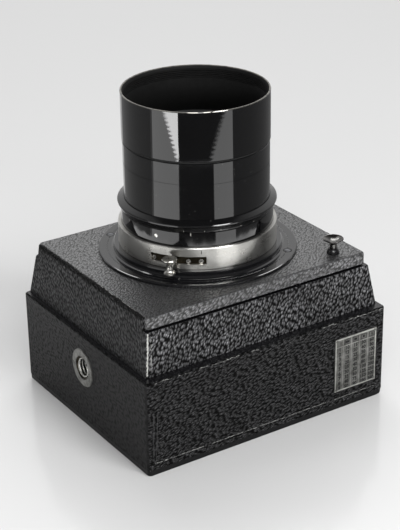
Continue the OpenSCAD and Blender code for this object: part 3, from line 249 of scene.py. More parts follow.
def lacquer(name, colour, rough, level=0.5):
    """Stoved black lacquer on turned brass: a deep gloss with wipe marks and a few specks of dust.

    A speck is 0.2 to 0.4 mm across, which is coarser than real dust, so that some of it shows.
    """
    made, tree, surface, where = material(name, IOR=1.55, Specular_IOR_Level=level)
    tree.links.new(wiped_gloss(tree, where, rough, rough + 0.07), surface.inputs["Roughness"])
    speck = add(tree, "ShaderNodeTexVoronoi", {"Vector": where, "Scale": 0.5})
    small = add(tree, "ShaderNodeMapRange", {"Value": speck.outputs["Distance"], "From Min": 0.1,
                                             "From Max": 0.05})
    lot = add(tree, "ShaderNodeSeparateColor", {"Color": speck.outputs["Color"]})
    few = add(tree, "ShaderNodeMath", {0: lot.outputs["Red"], 1: 0.9}, operation="GREATER_THAN")
    dust = add(tree, "ShaderNodeMath", {0: small.outputs["Result"], 1: few.outputs["Value"]},
               operation="MULTIPLY")
    tint = add(tree, "ShaderNodeMix", {"Factor": dust.outputs["Value"], "A": linear(colour),
                                       "B": linear("#6c6c69")}, data_type="RGBA")
    tree.links.new(tint.outputs["Result"], surface.inputs["Base Color"])
    return made


HOOD_BORE_R, HOOD_TOP = 34.8, 156.5


def hood_lacquer():
    """The hood's lacquer: gloss outside, dead black inside, and gone from the rim in chips of some 3 mm."""
    made, tree, surface, where = material("stoved_lacquer_hood", IOR=1.55, Specular_IOR_Level=0.5)
    xyz = add(tree, "ShaderNodeSeparateXYZ", {"Vector": where})
    flat = add(tree, "ShaderNodeCombineXYZ", {"X": xyz.outputs["X"], "Y": xyz.outputs["Y"]})
    radius = add(tree, "ShaderNodeVectorMath", {0: flat.outputs["Vector"]}, operation="LENGTH")
    inside = add(tree, "ShaderNodeMapRange", {"Value": radius.outputs["Value"],
                                              "From Min": HOOD_BORE_R + 0.1, "From Max": HOOD_BORE_R})
    rough = add(tree, "ShaderNodeMix", {"Factor": inside.outputs["Result"],
                                        "A": wiped_gloss(tree, where, 0.015, 0.05), "B": 0.8})
    tree.links.new(rough.outputs["Result"], surface.inputs["Roughness"])
    rim = add(tree, "ShaderNodeMapRange", {"Value": xyz.outputs["Z"], "From Min": HOOD_TOP - 0.3,
                                           "From Max": HOOD_TOP - 0.1})
    chips = add(tree, "ShaderNodeTexNoise", {"Vector": where, "Scale": 0.3, "Detail": 6.0,
                                             "Roughness": 0.7})
    chipped = add(tree, "ShaderNodeMapRange", {"Value": chips.outputs["Fac"], "From Min": 0.36,
                                               "From Max": 0.52})
    worn = add(tree, "ShaderNodeMath", {0: rim.outputs["Result"], 1: chipped.outputs["Result"]},
               operation="MULTIPLY")
    tone = add(tree, "ShaderNodeMix", {"Factor": inside.outputs["Result"], "A": linear("#070708"),
                                       "B": linear("#030303")}, data_type="RGBA")
    bare = add(tree, "ShaderNodeMix", {"Factor": worn.outputs["Value"], "A": tone.outputs["Result"],
                                       "B": linear("#8f8c86")}, data_type="RGBA")
    tree.links.new(bare.outputs["Result"], surface.inputs["Base Color"])
    tree.links.new(worn.outputs["Value"], surface.inputs["Metallic"])
    return made


def nickel(name, colour, rough, turned):
    """Nickel plate over brass: warm grey and cloudy. The marks of turning draw its highlights out.

    The marks are 0.17 mm apart, and the clouds of tarnish about 8 mm wide.
    """
    made, tree, surface, where = material(name, Metallic=1.0, Anisotropic=turned,
                                          Anisotropic_Rotation=0.25)
    if turned:
        round_axis = add(tree, "ShaderNodeTangent", direction_type="RADIAL", axis="Z")
        tree.links.new(round_axis.outputs["Tangent"], surface.inputs["Tangent"])
    lines = add(tree, "ShaderNodeMapping", {"Vector": where, "Scale": (0.02, 0.02, 3.0)})
    marks = add(tree, "ShaderNodeTexNoise", {"Vector": lines.outputs["Vector"], "Scale": 2.0,
                                             "Detail": 3.0})
    cloud = add(tree, "ShaderNodeTexNoise", {"Vector": where, "Scale": 0.12, "Detail": 6.0,
                                             "Roughness": 0.7})
    both = add(tree, "ShaderNodeMath", {0: marks.outputs["Fac"], 1: 0.4, 2: cloud.outputs["Fac"]},
               operation="MULTIPLY_ADD")
    gloss = add(tree, "ShaderNodeMapRange", {"Value": both.outputs["Value"], "From Min": 0.4,
                                             "From Max": 1.0, "To Min": rough - 0.05,
                                             "To Max": rough + 0.1})
    tree.links.new(gloss.outputs["Result"], surface.inputs["Roughness"])
    clear = add(tree, "ShaderNodeMapRange", {"Value": cloud.outputs["Fac"], "From Min": 0.3,
                                             "From Max": 0.55})
    tone = add(tree, "ShaderNodeMix", {"Factor": clear.outputs["Result"], "A": linear("#b4b2ad"),
                                       "B": linear(colour)}, data_type="RGBA")
    tree.links.new(tone.outputs["Result"], surface.inputs["Base Color"])
    return made


def bare_metal(name, colour, tarnish, rough):
    """Bare, drawn or dull-plated metal, with a 0.2 mm grit in it and a little tarnish in 4 mm clouds."""
    made, tree, surface, where = material(name, Metallic=1.0)
    cloud = add(tree, "ShaderNodeTexNoise", {"Vector": where, "Scale": 0.25, "Detail": 8.0,
                                             "Roughness": 0.7})
    clear = add(tree, "ShaderNodeMapRange", {"Value": cloud.outputs["Fac"], "From Min": 0.35,
                                             "From Max": 0.6})
    tone = add(tree, "ShaderNodeMix", {"Factor": clear.outputs["Result"], "A": linear(tarnish),
                                       "B": linear(colour)}, data_type="RGBA")
    tree.links.new(tone.outputs["Result"], surface.inputs["Base Color"])
    gloss = add(tree, "ShaderNodeMapRange", {"Value": cloud.outputs["Fac"], "From Min": 0.3,
                                             "From Max": 0.7, "To Min": rough + 0.12, "To Max": rough})
    tree.links.new(gloss.outputs["Result"], surface.inputs["Roughness"])
    grit = add(tree, "ShaderNodeTexNoise", {"Vector": where, "Scale": 5.0, "Detail": 2.0})
    relief(tree, surface, grit.outputs["Fac"], 0.01 * MM)
    return made


def matt(name, colour, dusty, rough):
    """Dead-black optical paint, ink or dyed cloth, which hardly shines at all, dusty in 2.5 mm clouds."""
    made, tree, surface, where = material(name, Specular_IOR_Level=0.25)
    cloud = add(tree, "ShaderNodeTexNoise", {"Vector": where, "Scale": 0.4, "Detail": 5.0})
    share = add(tree, "ShaderNodeMapRange", {"Value": cloud.outputs["Fac"], "From Min": 0.3,
                                             "From Max": 0.75})
    tone = add(tree, "ShaderNodeMix", {"Factor": share.outputs["Result"], "A": linear(colour),
                                       "B": linear(dusty)}, data_type="RGBA")
    tree.links.new(tone.outputs["Result"], surface.inputs["Base Color"])
    gloss = add(tree, "ShaderNodeMapRange", {"Value": cloud.outputs["Fac"], "To Min": rough + 0.05,
                                             "To Max": rough - 0.08})
    tree.links.new(gloss.outputs["Result"], surface.inputs["Roughness"])
    return made


def polished_glass(name, dullest):
    """Optical crown, clear under a film of dust, or ground glass when its dullest roughness is high.

    The film is uneven over some 3 mm.
    """
    made, tree, surface, where = material(name, IOR=1.52, Transmission_Weight=1.0,
                                          Base_Color=linear("#eef2f0"))
    dust = add(tree, "ShaderNodeTexNoise", {"Vector": where, "Scale": 0.3, "Detail": 8.0})
    gloss = add(tree, "ShaderNodeMapRange", {"Value": dust.outputs["Fac"], "From Min": 0.5,
                                             "From Max": 0.9, "To Min": dullest * 0.8,
                                             "To Max": dullest + 0.05})
    tree.links.new(gloss.outputs["Result"], surface.inputs["Roughness"])
    return made


# The tones below are painted shade in the creases and painted highlight on the crowns, over the skin's own
# black and rubbed grey
face_skin = leather("goatskin_face_fine_grain", grain=1.0, depth=0.16, slant=35, length=1.8, shine=0.25,
                    film=1.0, level=0.9, dry=0.34, tones=("#0e0e0f", "#454548", "#030303", "#98989b"),
                    calm=0.8)
skirt_skin = leather("goatskin_skirt_coarse_grain", grain=1.12, depth=0.9, slant=58, length=1.8, shine=0.2,
                     film=1.0, level=0.14, dry=0.45, tones=("#020202", "#85858a", "#020202", "#9c9c9f"),
                     calm=0.5)
rear_skin = leather("goatskin_rear_medium_grain", grain=0.9, depth=0.8, slant=20, length=2.4, shine=0.2,
                    film=0.8, level=0.1, dry=0.5, tones=("#020202", "#303032", "#030303", "#3f3f41"),
                    calm=0.2)
# The grey of the pared edges is part wear and part painted highlight along the edges
edge_skin = pared_edge("goatskin_pared_edge", "#a3a3a0", 0.35)
bare_and_highlit_edge_skin = pared_edge("goatskin_edge_rubbed_bare_and_highlit", "#c2c2be", 0.5)
dark_edge_skin = pared_edge("goatskin_turned_edge", "#2c2c2e", 0.35)
gloss_black = lacquer("stoved_lacquer", "#070708", 0.03)
turned_black = lacquer("stoved_lacquer_turned", "#0b0b0c", 0.08, level=0.6)
flange_black = lacquer("stoved_lacquer_flange", "#101012", 0.07, level=1.0)
satin_black = lacquer("stoved_lacquer_satin", "#101012", 0.22)
dull_black = lacquer("stoved_lacquer_dull", "#0a0a0b", 0.42, level=0.2)
hood_black = hood_lacquer()
dead_black = matt("optical_black_paint", "#09090a", "#161618", 0.78)
lining_black = matt("optical_black_paint_hood", "#040404", "#080808", 0.85)
blind_cloth = matt("rubbered_silk_cloth", "#0e0e10", "#1b1b1d", 0.6)
ink_and_gap_shade = matt("engraving_wax_black_and_gap_shade", "#101010", "#222222", 0.6)
scale_white = matt("engraving_wax_white", "#b9b8b2", "#d5d4cd", 0.6)
bright_nickel = nickel("nickel_plate_turned", "#c6c5c1", 0.28, 0.85)
small_nickel = nickel("nickel_plate_small_parts", "#d3d1cb", 0.2, 0.0)
# A darker grey nickel, which the release button takes
dark_nickel = bare_metal("nickel_plate_darker", "#737270", "#3a3938", 0.1)
blued_steel = bare_metal("steel_screws_blued", "#76777b", "#505154", 0.3)
dull_alloy = bare_metal("aluminium_drawn_dull", "#82827f", "#565653", 0.42)
bright_alloy = bare_metal("aluminium_cut_bright", "#c9c9c4", "#9b9b97", 0.3)
cut_alloy = bare_metal("aluminium_line_cut", "#a9a9a5", "#83837f", 0.35)
old_brass = bare_metal("brass_turned", "#a08a4e", "#6d5a30", 0.35)
# Blacked brass; on the tripod bush its dark tone is painted shade of the socket's recess
blacked_brass_recess_shade = bare_metal("brass_blacked_and_recess_shade", "#3a352b", "#191714", 0.35)
spring_steel = bare_metal("spring_steel_wire", "#8d8f92", "#5e6063", 0.3)
clear_glass = polished_glass("optical_glass_polished", 0.0)
etched_glass = polished_glass("ground_glass_etched", 0.5)

# Finishes of single pieces, and of all the others by the slot that the record gives them
FINISH = {
    "rear_leather": rear_skin, "skirt_leather": skirt_skin, "front_leather": face_skin,
    # The tripod bush's dark blacked brass is painted shade of the socket's recess
    "frame_screws": rear_skin, "flange_screws": blued_steel, "tripod_bush": blacked_brass_recess_shade,
    "release_button": dark_nickel, "front_cell": turned_black, "back_frame": dull_black,
    "lens_hood": hood_black, "lens_barrel": gloss_black, "lens_sleeve": gloss_black,
    "focus_ring": blacked_brass_recess_shade, "iris_ring": turned_black, "lens_flange": flange_black,
    "focus_housing": bright_nickel,
}
BY_SLOT = {
    "black_leather": rear_skin, "black_lacquer": satin_black, "matt_black": dead_black,
    "nickel": small_nickel, "dull_metal": dull_alloy, "brass": old_brass, "cloth": blind_cloth,
    "spring_steel": spring_steel, "lens_glass": clear_glass, "ground": etched_glass,
}
slots = {s["node"]: s["material_slot"] for s in frame["record"]["subparts"]}
for name, part in frame["nodes"].items():
    finish = FINISH.get(name) or BY_SLOT[slots[name]]
    part.data.materials.clear()
    part.data.materials.append(finish)


# Making small pieces. Each maker adds corners and faces to a pair of lists, at (u, v) on a surface and
# h above it, and place() turns that into a point of the camera in mm.

def finish_piece(name, points, faces, finish, body, smooth=False):
    """A new piece from corners in mm and faces. It rides on a body and takes the finish it is given."""
    mesh = bpy.data.meshes.new(name)
    mesh.from_pydata([Vector(p) * MM for p in points], [], faces)
    work = bmesh.new()
    work.from_mesh(mesh)
    bmesh.ops.remove_doubles(work, verts=work.verts, dist=1e-7)
    bmesh.ops.recalc_face_normals(work, faces=work.faces)
    work.to_mesh(mesh)
    work.free()
    mesh.materials.append(finish)
    if smooth:
        mesh.shade_smooth()
    made = bpy.data.objects.new(name, mesh)
    bpy.context.scene.collection.objects.link(made)
    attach(made, body)
    return made


def slab(points, faces, outline, low, high, place):
    """A flat-topped piece with the outline's shape."""
    first, count = len(points), len(outline)
    points += [place(u, v, low) for u, v in outline] + [place(u, v, high) for u, v in outline]
    faces.append(tuple(range(first, first + count)))
    faces.append(tuple(range(first + count, first + 2 * count)))
    for i in range(count):
        j = (i + 1) % count
        faces.append((first + i, first + j, first + count + j, first + count + i))


def bar(points, faces, u0, v0, u1, v1, low, high, place):
    """A straight-sided bar between two corners."""
    slab(points, faces, [(u0, v0), (u1, v0), (u1, v1), (u0, v1)], low, high, place)


def strip(points, faces, path, width, rag, low, high, place, dice):
    """A strip of leather along a path, ridged in the middle. rag is how much its width and height vary."""
    first = len(points)
    for i, (u, v) in enumerate(path):
        before, after = path[max(i - 1, 0)], path[min(i + 1, len(path) - 1)]
        way = Vector((after[0] - before[0], after[1] - before[1])).normalized()
        half = width / 2 * (1 + rag * dice.uniform(-1, 1))
        shift = width * rag * 0.4 * dice.uniform(-1, 1)
        crest = low + (high - low) * (1 + rag * 0.8 * dice.uniform(-1, 0.3))
        for across, h in ((-half, low), (-half * 0.4, crest), (half * 0.4, crest), (half, low)):
            points.append(place(u - way.y * (across + shift), v + way.x * (across + shift), h))
    for i in range(len(path) - 1):
        a, b = first + 4 * i, first + 4 * i + 4
        faces += [(a + k, a + (k + 1) % 4, b + (k + 1) % 4, b + k) for k in range(4)]
    end = first + 4 * (len(path) - 1)
    faces += [(first, first + 1, first + 2, first + 3), (end, end + 1, end + 2, end + 3)]


def turned(points, faces, outline, place, steps=48):
    """A ring turned from a closed outline of (radius, height) round the place's own axis."""
    first, count = len(points), len(outline)
    for s in range(steps):
        a = 2 * math.pi * s / steps
        points += [place(r * math.cos(a), r * math.sin(a), h) for r, h in outline]
    for s in range(steps):
        a, b = first + count * s, first + count * ((s + 1) % steps)
        faces += [(a + k, a + (k + 1) % count, b + (k + 1) % count, b + k) for k in range(count)]


def screw_thread(points, faces, radius, depth, pitch, low, high, place, steps=36):
    """A helical rib, depth high, that winds inside a bore from one end to the other."""
    first, count = len(points), int((high - low) / pitch * steps)
    for i in range(count + 1):
        a, h = 2 * math.pi * i / steps, low + pitch * i / steps
        for r, rise in ((radius, -0.45 * pitch), (radius - depth, 0), (radius, 0.45 * pitch)):
            points.append(place(r * math.cos(a), r * math.sin(a), min(max(h + rise, low), high)))
    for i in range(count):
        a, b = first + 3 * i, first + 3 * i + 3
        faces += [(a + k, a + (k + 1) % 3, b + (k + 1) % 3, b + k) for k in range(3)]
    end = first + 3 * count
    faces += [(first, first + 1, first + 2), (end, end + 1, end + 2)]


def coil(points, faces, radius, wire, turns, low, high, place, steps=24, sides=8):
    """A spring of round wire, whose radius is wire, wound from one end to the other."""
    first, count = len(points), turns * steps
    for i in range(count + 1):
        a, h = 2 * math.pi * i / steps, low + wire + (high - low - 2 * wire) * i / count
        for b in (2 * math.pi * k / sides for k in range(sides)):
            r = radius + wire * math.cos(b)
            points.append(place(r * math.cos(a), r * math.sin(a), h + wire * math.sin(b)))
    for i in range(count):
        a, b = first + i * sides, first + (i + 1) * sides
        faces += [(a + k, a + (k + 1) % sides, b + (k + 1) % sides, b + k) for k in range(sides)]
    end = first + count * sides
    faces += [tuple(range(first, first + sides)), tuple(range(end, end + sides))]


def slotted_head(points, faces, radius, thick, slot, turn, place):
    """A small screw head with a slot: a thin disc under two half discs."""
    def arc(start, angle, steps):
        """Points of the rim, from a start through an angle in radians."""
        angles = [start + angle * i / steps for i in range(steps + 1)]
        return [(radius * math.cos(a), radius * math.sin(a)) for a in angles]

    slab(points, faces, arc(0, 2 * math.pi, 32)[:-1], 0, thick / 2, place)
    open_angle = math.asin(slot / 2 / radius)
    for half in (0, math.pi):
        cheek = arc(half + open_angle + turn, math.pi - 2 * open_angle, 14)
        slab(points, faces, cheek, thick / 2, thick, place)


def figure(points, faces, text, size, u, v, high, place):
    """A plain number as raised strokes, size mm tall, with its middle at (u, v)."""
    curve = bpy.data.curves.new("figure", "FONT")
    curve.body, curve.size, curve.extrude, curve.offset = text, size, high / 2, size * 0.04
    curve.resolution_u = 2
    curve.align_x, curve.align_y = "CENTER", "CENTER"
    typed = bpy.data.objects.new("figure", curve)
    bpy.context.scene.collection.objects.link(typed)
    bpy.context.view_layer.update()
    strokes = bpy.data.meshes.new_from_object(typed.evaluated_get(bpy.context.evaluated_depsgraph_get()))
    first = len(points)
    points += [place(u + p.co.x, v + p.co.y, high / 2 + p.co.z) for p in strokes.vertices]
    faces += [tuple(first + i for i in f.vertices) for f in strokes.polygons]
    bpy.data.objects.remove(typed)
    bpy.data.curves.remove(curve)
    bpy.data.meshes.remove(strokes)


def wander(start, end, steps, drift, dice):
    """A path between two points that strays by drift."""
    return [(start[0] + (end[0] - start[0]) * i / steps + drift * dice.uniform(-1, 1),
             start[1] + (end[1] - start[1]) * i / steps + drift * dice.uniform(-1, 1))
            for i in range(steps + 1)]


def on_front_side(y):
    """Places on a face that looks along -Y: u is X and v is Z."""
    return lambda u, v, h: (u, y - h, v)


SKIRT_Y, SKIRT_Z, SKIRT_LEAN = -58.05, 48.6, 0.1607


def on_skirt_side(u, v, h):
    """Places on the skirt's long side, which leans in towards the face: u is X and v is Z."""
    return (u, SKIRT_Y + (v - SKIRT_Z) * SKIRT_LEAN - h, v)


def on_end(x, y=0, z=0):
    """Places on the end that looks along -X, round (y, z): u runs along -Y and v up."""
    return lambda u, v, h: (x - h, y - u, z + v)


def on_top(z):
    """Places on a face that looks up."""
    return lambda u, v, h: (u, v, z + h)


def round_the_lens(radius, angle, z):
    """Places on a tube round the lens axis: u runs round it from an angle in degrees, v up, h outward."""
    start = math.radians(angle)
    return lambda u, v, h: ((radius + h) * math.cos(start + u / radius),
                            (radius + h) * math.sin(start + u / radius), z + v)


# The table of shutter times: a cut plate with filled lines, boxed marks and plain numbers
TABLE_X0, TABLE_X1, TABLE_Z0, TABLE_Z1, TABLE_Y = 37.3, 62.1, 10.2, 38.6, -63.02
HEAD_ROW, SIDE_COLUMN, BORDER, RIGHT_BORDER = 4.4, 4.6, 0.6, 0.5
BOX_WIDE, BOX_HIGH, BOX_LINE, MARK_HIGH = 3.4, 2.6, 0.25, 1.2
TIMES = ((10, 15, 30, 60), (12, 20, 40, 80), (15, 25, 50, 100), (20, 30, 60, 125), (25, 40, 80, 160),
         (30, 50, 100, 200), (35, 60, 125, 250), (40, 75, 150, 300), (50, 90, 180, 360))
on_table = on_front_side(TABLE_Y)
left, right = TABLE_X0 + BORDER, TABLE_X1 - RIGHT_BORDER
bottom, top = TABLE_Z0 + BORDER, TABLE_Z1 - BORDER
table_top, table_side = TABLE_Z1 - HEAD_ROW, TABLE_X0 + SIDE_COLUMN
column = (TABLE_X1 - table_side) / len(TIMES[0])
row = (table_top - TABLE_Z0) / len(TIMES)

points, faces = [], []
for u0, v0, u1, v1 in ((TABLE_X0, TABLE_Z0, left, TABLE_Z1), (right, TABLE_Z0, TABLE_X1, TABLE_Z1),
                       (left, TABLE_Z0, right, bottom), (left, top, right, TABLE_Z1)):
    bar(points, faces, u0, v0, u1, v1, -0.02, 0.1, on_table)
finish_piece("table_border", points, faces, bright_alloy, "camera")

points, faces = [], []
bar(points, faces, left, table_top - 0.15, right, table_top + 0.15, -0.02, 0.06, on_table)
for i in range(len(TIMES[0])):
    line = table_side + column * i
    bar(points, faces, line - 0.13, bottom, line + 0.13, top, -0.02, 0.05, on_table)
finish_piece("table_lines", points, faces, cut_alloy, "camera")

points, faces = [], []
half_box, half_high, mark_z = BOX_WIDE / 2, BOX_HIGH / 2, TABLE_Z1 - HEAD_ROW / 2 - 0.3
for i, wide in enumerate((2.4, 1.8, 1.2, 0.6)):  # the marks stand for slits from wide to narrow
    middle = table_side + column * (i + 0.5)
    for u0, v0, u1, v1 in ((-half_box, -half_high, half_box, BOX_LINE - half_high),
                           (-half_box, half_high - BOX_LINE, half_box, half_high),
                           (-half_box, BOX_LINE - half_high, BOX_LINE - half_box, half_high - BOX_LINE),
                           (half_box - BOX_LINE, BOX_LINE - half_high, half_box, half_high - BOX_LINE),
                           (-wide / 2, -MARK_HIGH / 2, wide / 2, MARK_HIGH / 2)):
        bar(points, faces, middle + u0, mark_z + v0, middle + u1, mark_z + v1, -0.01, 0.04, on_table)
for r, times in enumerate(TIMES):
    row_z = table_top - row * (r + 0.5)
    figure(points, faces, str(r + 1), 2.9, TABLE_X0 + 0.4 + SIDE_COLUMN / 2, row_z, 0.04, on_table)
    for c, time in enumerate(times):
        figure(points, faces, str(time), 2.6, table_side + column * (c + 0.5), row_z, 0.04, on_table)
finish_piece("table_figures", points, faces, ink_and_gap_shade, "camera")

# The tripod socket's thread: 3/8 inch, 16 turns to the inch
SOCKET_X, SOCKET_Y, SOCKET_Z, SOCKET_R, PITCH = -69.6, -4.4, 31.2, 4.76, 1.5875
points, faces = [], []
screw_thread(points, faces, radius=SOCKET_R + 0.02, depth=0.86, pitch=PITCH, low=-8.2, high=-0.1,
             place=on_end(SOCKET_X, SOCKET_Y, SOCKET_Z))
finish_piece("socket_thread", points, faces, bright_alloy, "camera", smooth=True)

# Painted shade: dark matt rings round the flange's two screw heads and dark bars in their slots, where the
# gaps are shadowed
FLANGE_TOP, SCREW_CIRCLE_R, SCREW_HEAD_R, SLOT_ANGLE, GAP = 77.0, 44.6, 1.7, 25, 0.5


def on_flange_screw(angle):
    """Places on the flange screw at an angle in degrees round the lens: u runs along its slot."""
    turn = math.radians(angle)
    middle = Vector((SCREW_CIRCLE_R * math.cos(turn), SCREW_CIRCLE_R * math.sin(turn), FLANGE_TOP))
    slot_turn = Matrix.Rotation(turn + math.radians(SLOT_ANGLE), 3, "Z")
    return lambda u, v, h: tuple(middle + slot_turn @ Vector((u, v, h)))


points, faces = [], []
for angle in (132, -47):
    at_head = on_flange_screw(angle)
    turned(points, faces, [(SCREW_HEAD_R - 0.15, -0.05), (SCREW_HEAD_R + GAP, -0.05),
                           (SCREW_HEAD_R + GAP, 0.03), (SCREW_HEAD_R - 0.15, 0.08)], at_head, 32)
    bar(points, faces, -SCREW_HEAD_R, -0.3, SCREW_HEAD_R, 0.3, -0.2, 0.06, at_head)
finish_piece("flange_screw_gaps", points, faces, ink_and_gap_shade, "camera")

# The hood's dead black lining, with a fine thread near the mouth for a cap or filter
LINING_OUT, LINING_IN, LINING_LOW, LINING_HIGH = 34.32, 34.22, 132.8, 154.9
points, faces = [], []
turned(points, faces, [(LINING_OUT, LINING_LOW), (LINING_OUT, LINING_HIGH), (LINING_IN, LINING_HIGH),
                       (LINING_IN, LINING_LOW)], on_top(0), 120)
screw_thread(points, faces, radius=LINING_IN + 0.02, depth=0.14, pitch=0.9, low=150.2,
             high=LINING_HIGH - 0.1, place=on_top(0), steps=120)
finish_piece("hood_lining", points, faces, lining_black, "lens", smooth=True)

# The locking screw in the sleeve, in its counterbore
SLEEVE_SCREW_R, SLEEVE_SCREW_Z, SLEEVE_SCREW_TURN = 36.2, 94.9, math.radians(-155)
screw_out = Vector((math.cos(SLEEVE_SCREW_TURN), math.sin(SLEEVE_SCREW_TURN), 0))
screw_side = Vector((-math.sin(SLEEVE_SCREW_TURN), math.cos(SLEEVE_SCREW_TURN), 0))


def on_sleeve_screw(u, v, h):
    """Places on the screw's own axis, which points out of the sleeve."""
    return tuple(screw_out * (SLEEVE_SCREW_R + h) + screw_side * u + Vector((0, 0, SLEEVE_SCREW_Z + v)))


points, faces = [], []
slotted_head(points, faces, radius=0.95, thick=0.5, slot=0.3, turn=0.9, place=on_sleeve_screw)
finish_piece("sleeve_screw", points, faces, small_nickel, "lens")

# The release button's return spring, wound as it stands at rest; the real one closes up as the button goes
# down
spring_solid = frame["nodes"]["button_spring"]
spring_box = [spring_solid.matrix_world @ Vector(c) / MM for c in spring_solid.bound_box]
spring_low, spring_high = min(c.z for c in spring_box), max(c.z for c in spring_box)
spring_x, spring_y = (sum(c[i] for c in spring_box) / 8 for i in (0, 1))
WIRE, TURNS, TRAVEL = 0.3, 8, 2.0
spring_r = (max(c.x for c in spring_box) - min(c.x for c in spring_box)) / 2 - WIRE
points, faces = [], []
coil(points, faces, spring_r, WIRE, TURNS, spring_low, spring_high,
     lambda u, v, h: (spring_x + u, spring_y + v, h))
return_spring = finish_piece("return_spring", points, faces, spring_steel, "camera",
                             smooth=True)
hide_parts("button_spring")
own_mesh(return_spring)

# White lines round the iris ring, a white line on the sleeve to read them by, and an inked line above
# the focusing lever. Each row: piece, finish, body, slot, then the tube's radius, the lines' angles, their
# foot in Z, half width and length, and how deep in the tube they start.
SCALES = (
    ("iris_lines", scale_white, "iris_collar", "black_lacquer",
     37.05, (-133, -118, -106, -90, -78), 99.0, 0.12, 0.55, -0.4),
    ("iris_index", scale_white, "lens", "black_lacquer", 36.85, (-128,), 96.8, 0.13, 1.3, -0.3),
    ("focus_index", ink_and_gap_shade, "camera", "nickel", 38.45, (-120.6,), 88.3, 0.16, 1.7, -0.1),
)
for name, finish, body, slot, radius, angles, foot, half, length, low in SCALES:
    points, faces = [], []
    for angle in angles:
        bar(points, faces, -half, 0, half, length, low, 0.03, round_the_lens(radius, angle, foot))
    finish_piece(name, points, faces, finish, body)

# Leather edges. The skin of the short end turns on to the long side and ends in a pared edge there, and
# the face's skin hangs a little over its short edge, where it has shrunk and curled. Each row is a strip:
# its place, the ends, steps and drift of its path, its width and rag, and its lowest and highest point.
REAR_Y, FACE_X, FACE_TOP = -62.88, -63.1, 75.5
on_rear_side, on_face, on_worn_face = on_front_side(REAR_Y), on_top(FACE_TOP), on_top(FACE_TOP - 0.08)
# The grey strips are worn edges with painted highlight along them
EDGES = (
    ("skirt_corner_edge", bare_and_highlit_edge_skin,
     ((on_skirt_side, (-65.7, 49.4), (-62.9, 68.6), 40, 0.08, 0.8, 0.4, -0.1, 0.16),
      (on_skirt_side, (-63.6, 50.4), (-61.4, 67), 30, 0.1, 0.3, 0.7, -0.1, 0.1))),
    ("rear_corner_seam", dark_edge_skin,
     ((on_rear_side, (-66.8, 8), (-66.0, 33), 34, 0.12, 0.8, 0.5, -0.1, 0.22),
      (on_rear_side, (-65.4, 8), (-63.8, 33), 34, 0.12, 0.6, 0.5, -0.1, 0.18))),
    ("rear_lower_edge", edge_skin,
     ((on_rear_side, (-66, 6.4), (62, 6.2), 110, 0.1, 0.45, 0.6, -0.08, 0.14),)),
    ("rear_top_wear", edge_skin,
     tuple((on_rear_side, (x0, 47.8), (x1, 47.8), 20, 0.2, 0.4, 0.9, -0.1, 0.14)
           for x0, x1 in ((-65, -46), (-41, -19), (-12, -8), (29, 38), (44, 66)))),
    ("rear_crease", dark_edge_skin,
     ((on_rear_side, (-57.5, 9), (-46, 15.5), 20, 0.15, 0.5, 0.5, -0.1, 0.16),)),
    ("face_edge", lining_black,
     ((on_face, (-62.6, 45.8), (-62.6, -51.8), 90, 0.2, 1.5, 0.5, -0.3, 0.12),
      (on_end(FACE_X), (-45.6, 73.9), (50.4, 73.9), 120, 0.45, 2.0, 0.6, -0.25, 0.45))),
    ("face_edge_wear", edge_skin,
     tuple((on_worn_face, (-62.1, y0), (-62.1, y1), 24, 0.12, 0.4, 0.8, -0.12, 0.08)
           for y0, y1 in ((-52, -31), (-28, -12), (4, 13)))),
)
dice = random.Random(11)
for name, finish, strips in EDGES:
    points, faces = [], []
    for place, start, end, steps, drift, width, rag, low, high in strips:
        strip(points, faces, wander(start, end, steps, drift, dice), width, rag, low, high, place, dice)
    finish_piece(name, points, faces, finish, "camera")

# Rings in the skin of the long side, over covered screws: the upper pair and the lower pair in outline
UPPER_RING = [(1.9, -0.1), (2.25, -0.1), (2.15, 0.12), (1.95, 0.12)]
LOWER_RING = [(2.3, -0.1), (2.65, -0.1), (2.5, 0.1), (2.35, 0.1)]
points, faces = [], []
for x, z, outline in ((-49.4, 39.0, UPPER_RING), (-45.6, 16.2, UPPER_RING), (-37.3, 5.8, LOWER_RING),
                      (34.8, 5.8, LOWER_RING)):
    turned(points, faces, outline, lambda u, v, h, x=x, z=z: on_rear_side(x + u, z + v, h), 32)
finish_piece("covered_screw_rings", points, faces, dark_edge_skin, "camera")


# Floor, light and camera

def staged_sheet(name, corners, finish):
    """A flat sheet of the studio, which is no part of the object. Its corners are in mm."""
    mesh = bpy.data.meshes.new(name)
    mesh.from_pydata([Vector(p) * MM for p in corners], [], [tuple(range(len(corners)))])
    mesh.materials.append(finish)
    made = bpy.data.objects.new(name, mesh)
    bpy.context.scene.collection.objects.link(made)
    made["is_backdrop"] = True
    return made


# A glazed board: white and smooth enough to mirror the body faintly, and uneven in its gloss over 100 mm
FLOOR = 3000
floor_board, floor_tree, floor_surface, floor_mm = material("glazed_white_board", IOR=1.8,
                                                            Base_Color=linear("#e1e1e1"))
sheen = add(floor_tree, "ShaderNodeTexNoise", {"Vector": floor_mm, "Scale": 0.01, "Detail": 3.0})
wiped = add(floor_tree, "ShaderNodeMapRange", {"Value": sheen.outputs["Fac"], "To Min": 0.11,
                                               "To Max": 0.18})
floor_tree.links.new(wiped.outputs["Result"], floor_surface.inputs["Roughness"])
staged_sheet("floor", [(-FLOOR, -FLOOR, 0), (FLOOR, -FLOOR, 0), (FLOOR, FLOOR, 0), (-FLOOR, FLOOR, 0)],
             floor_board)

world = bpy.data.worlds.new("studio")
bpy.context.scene.world = world
world.use_nodes = True
sky = world.node_tree
sky.nodes.clear()
path = add(sky, "ShaderNodeLightPath")
look = add(sky, "ShaderNodeTexCoord")
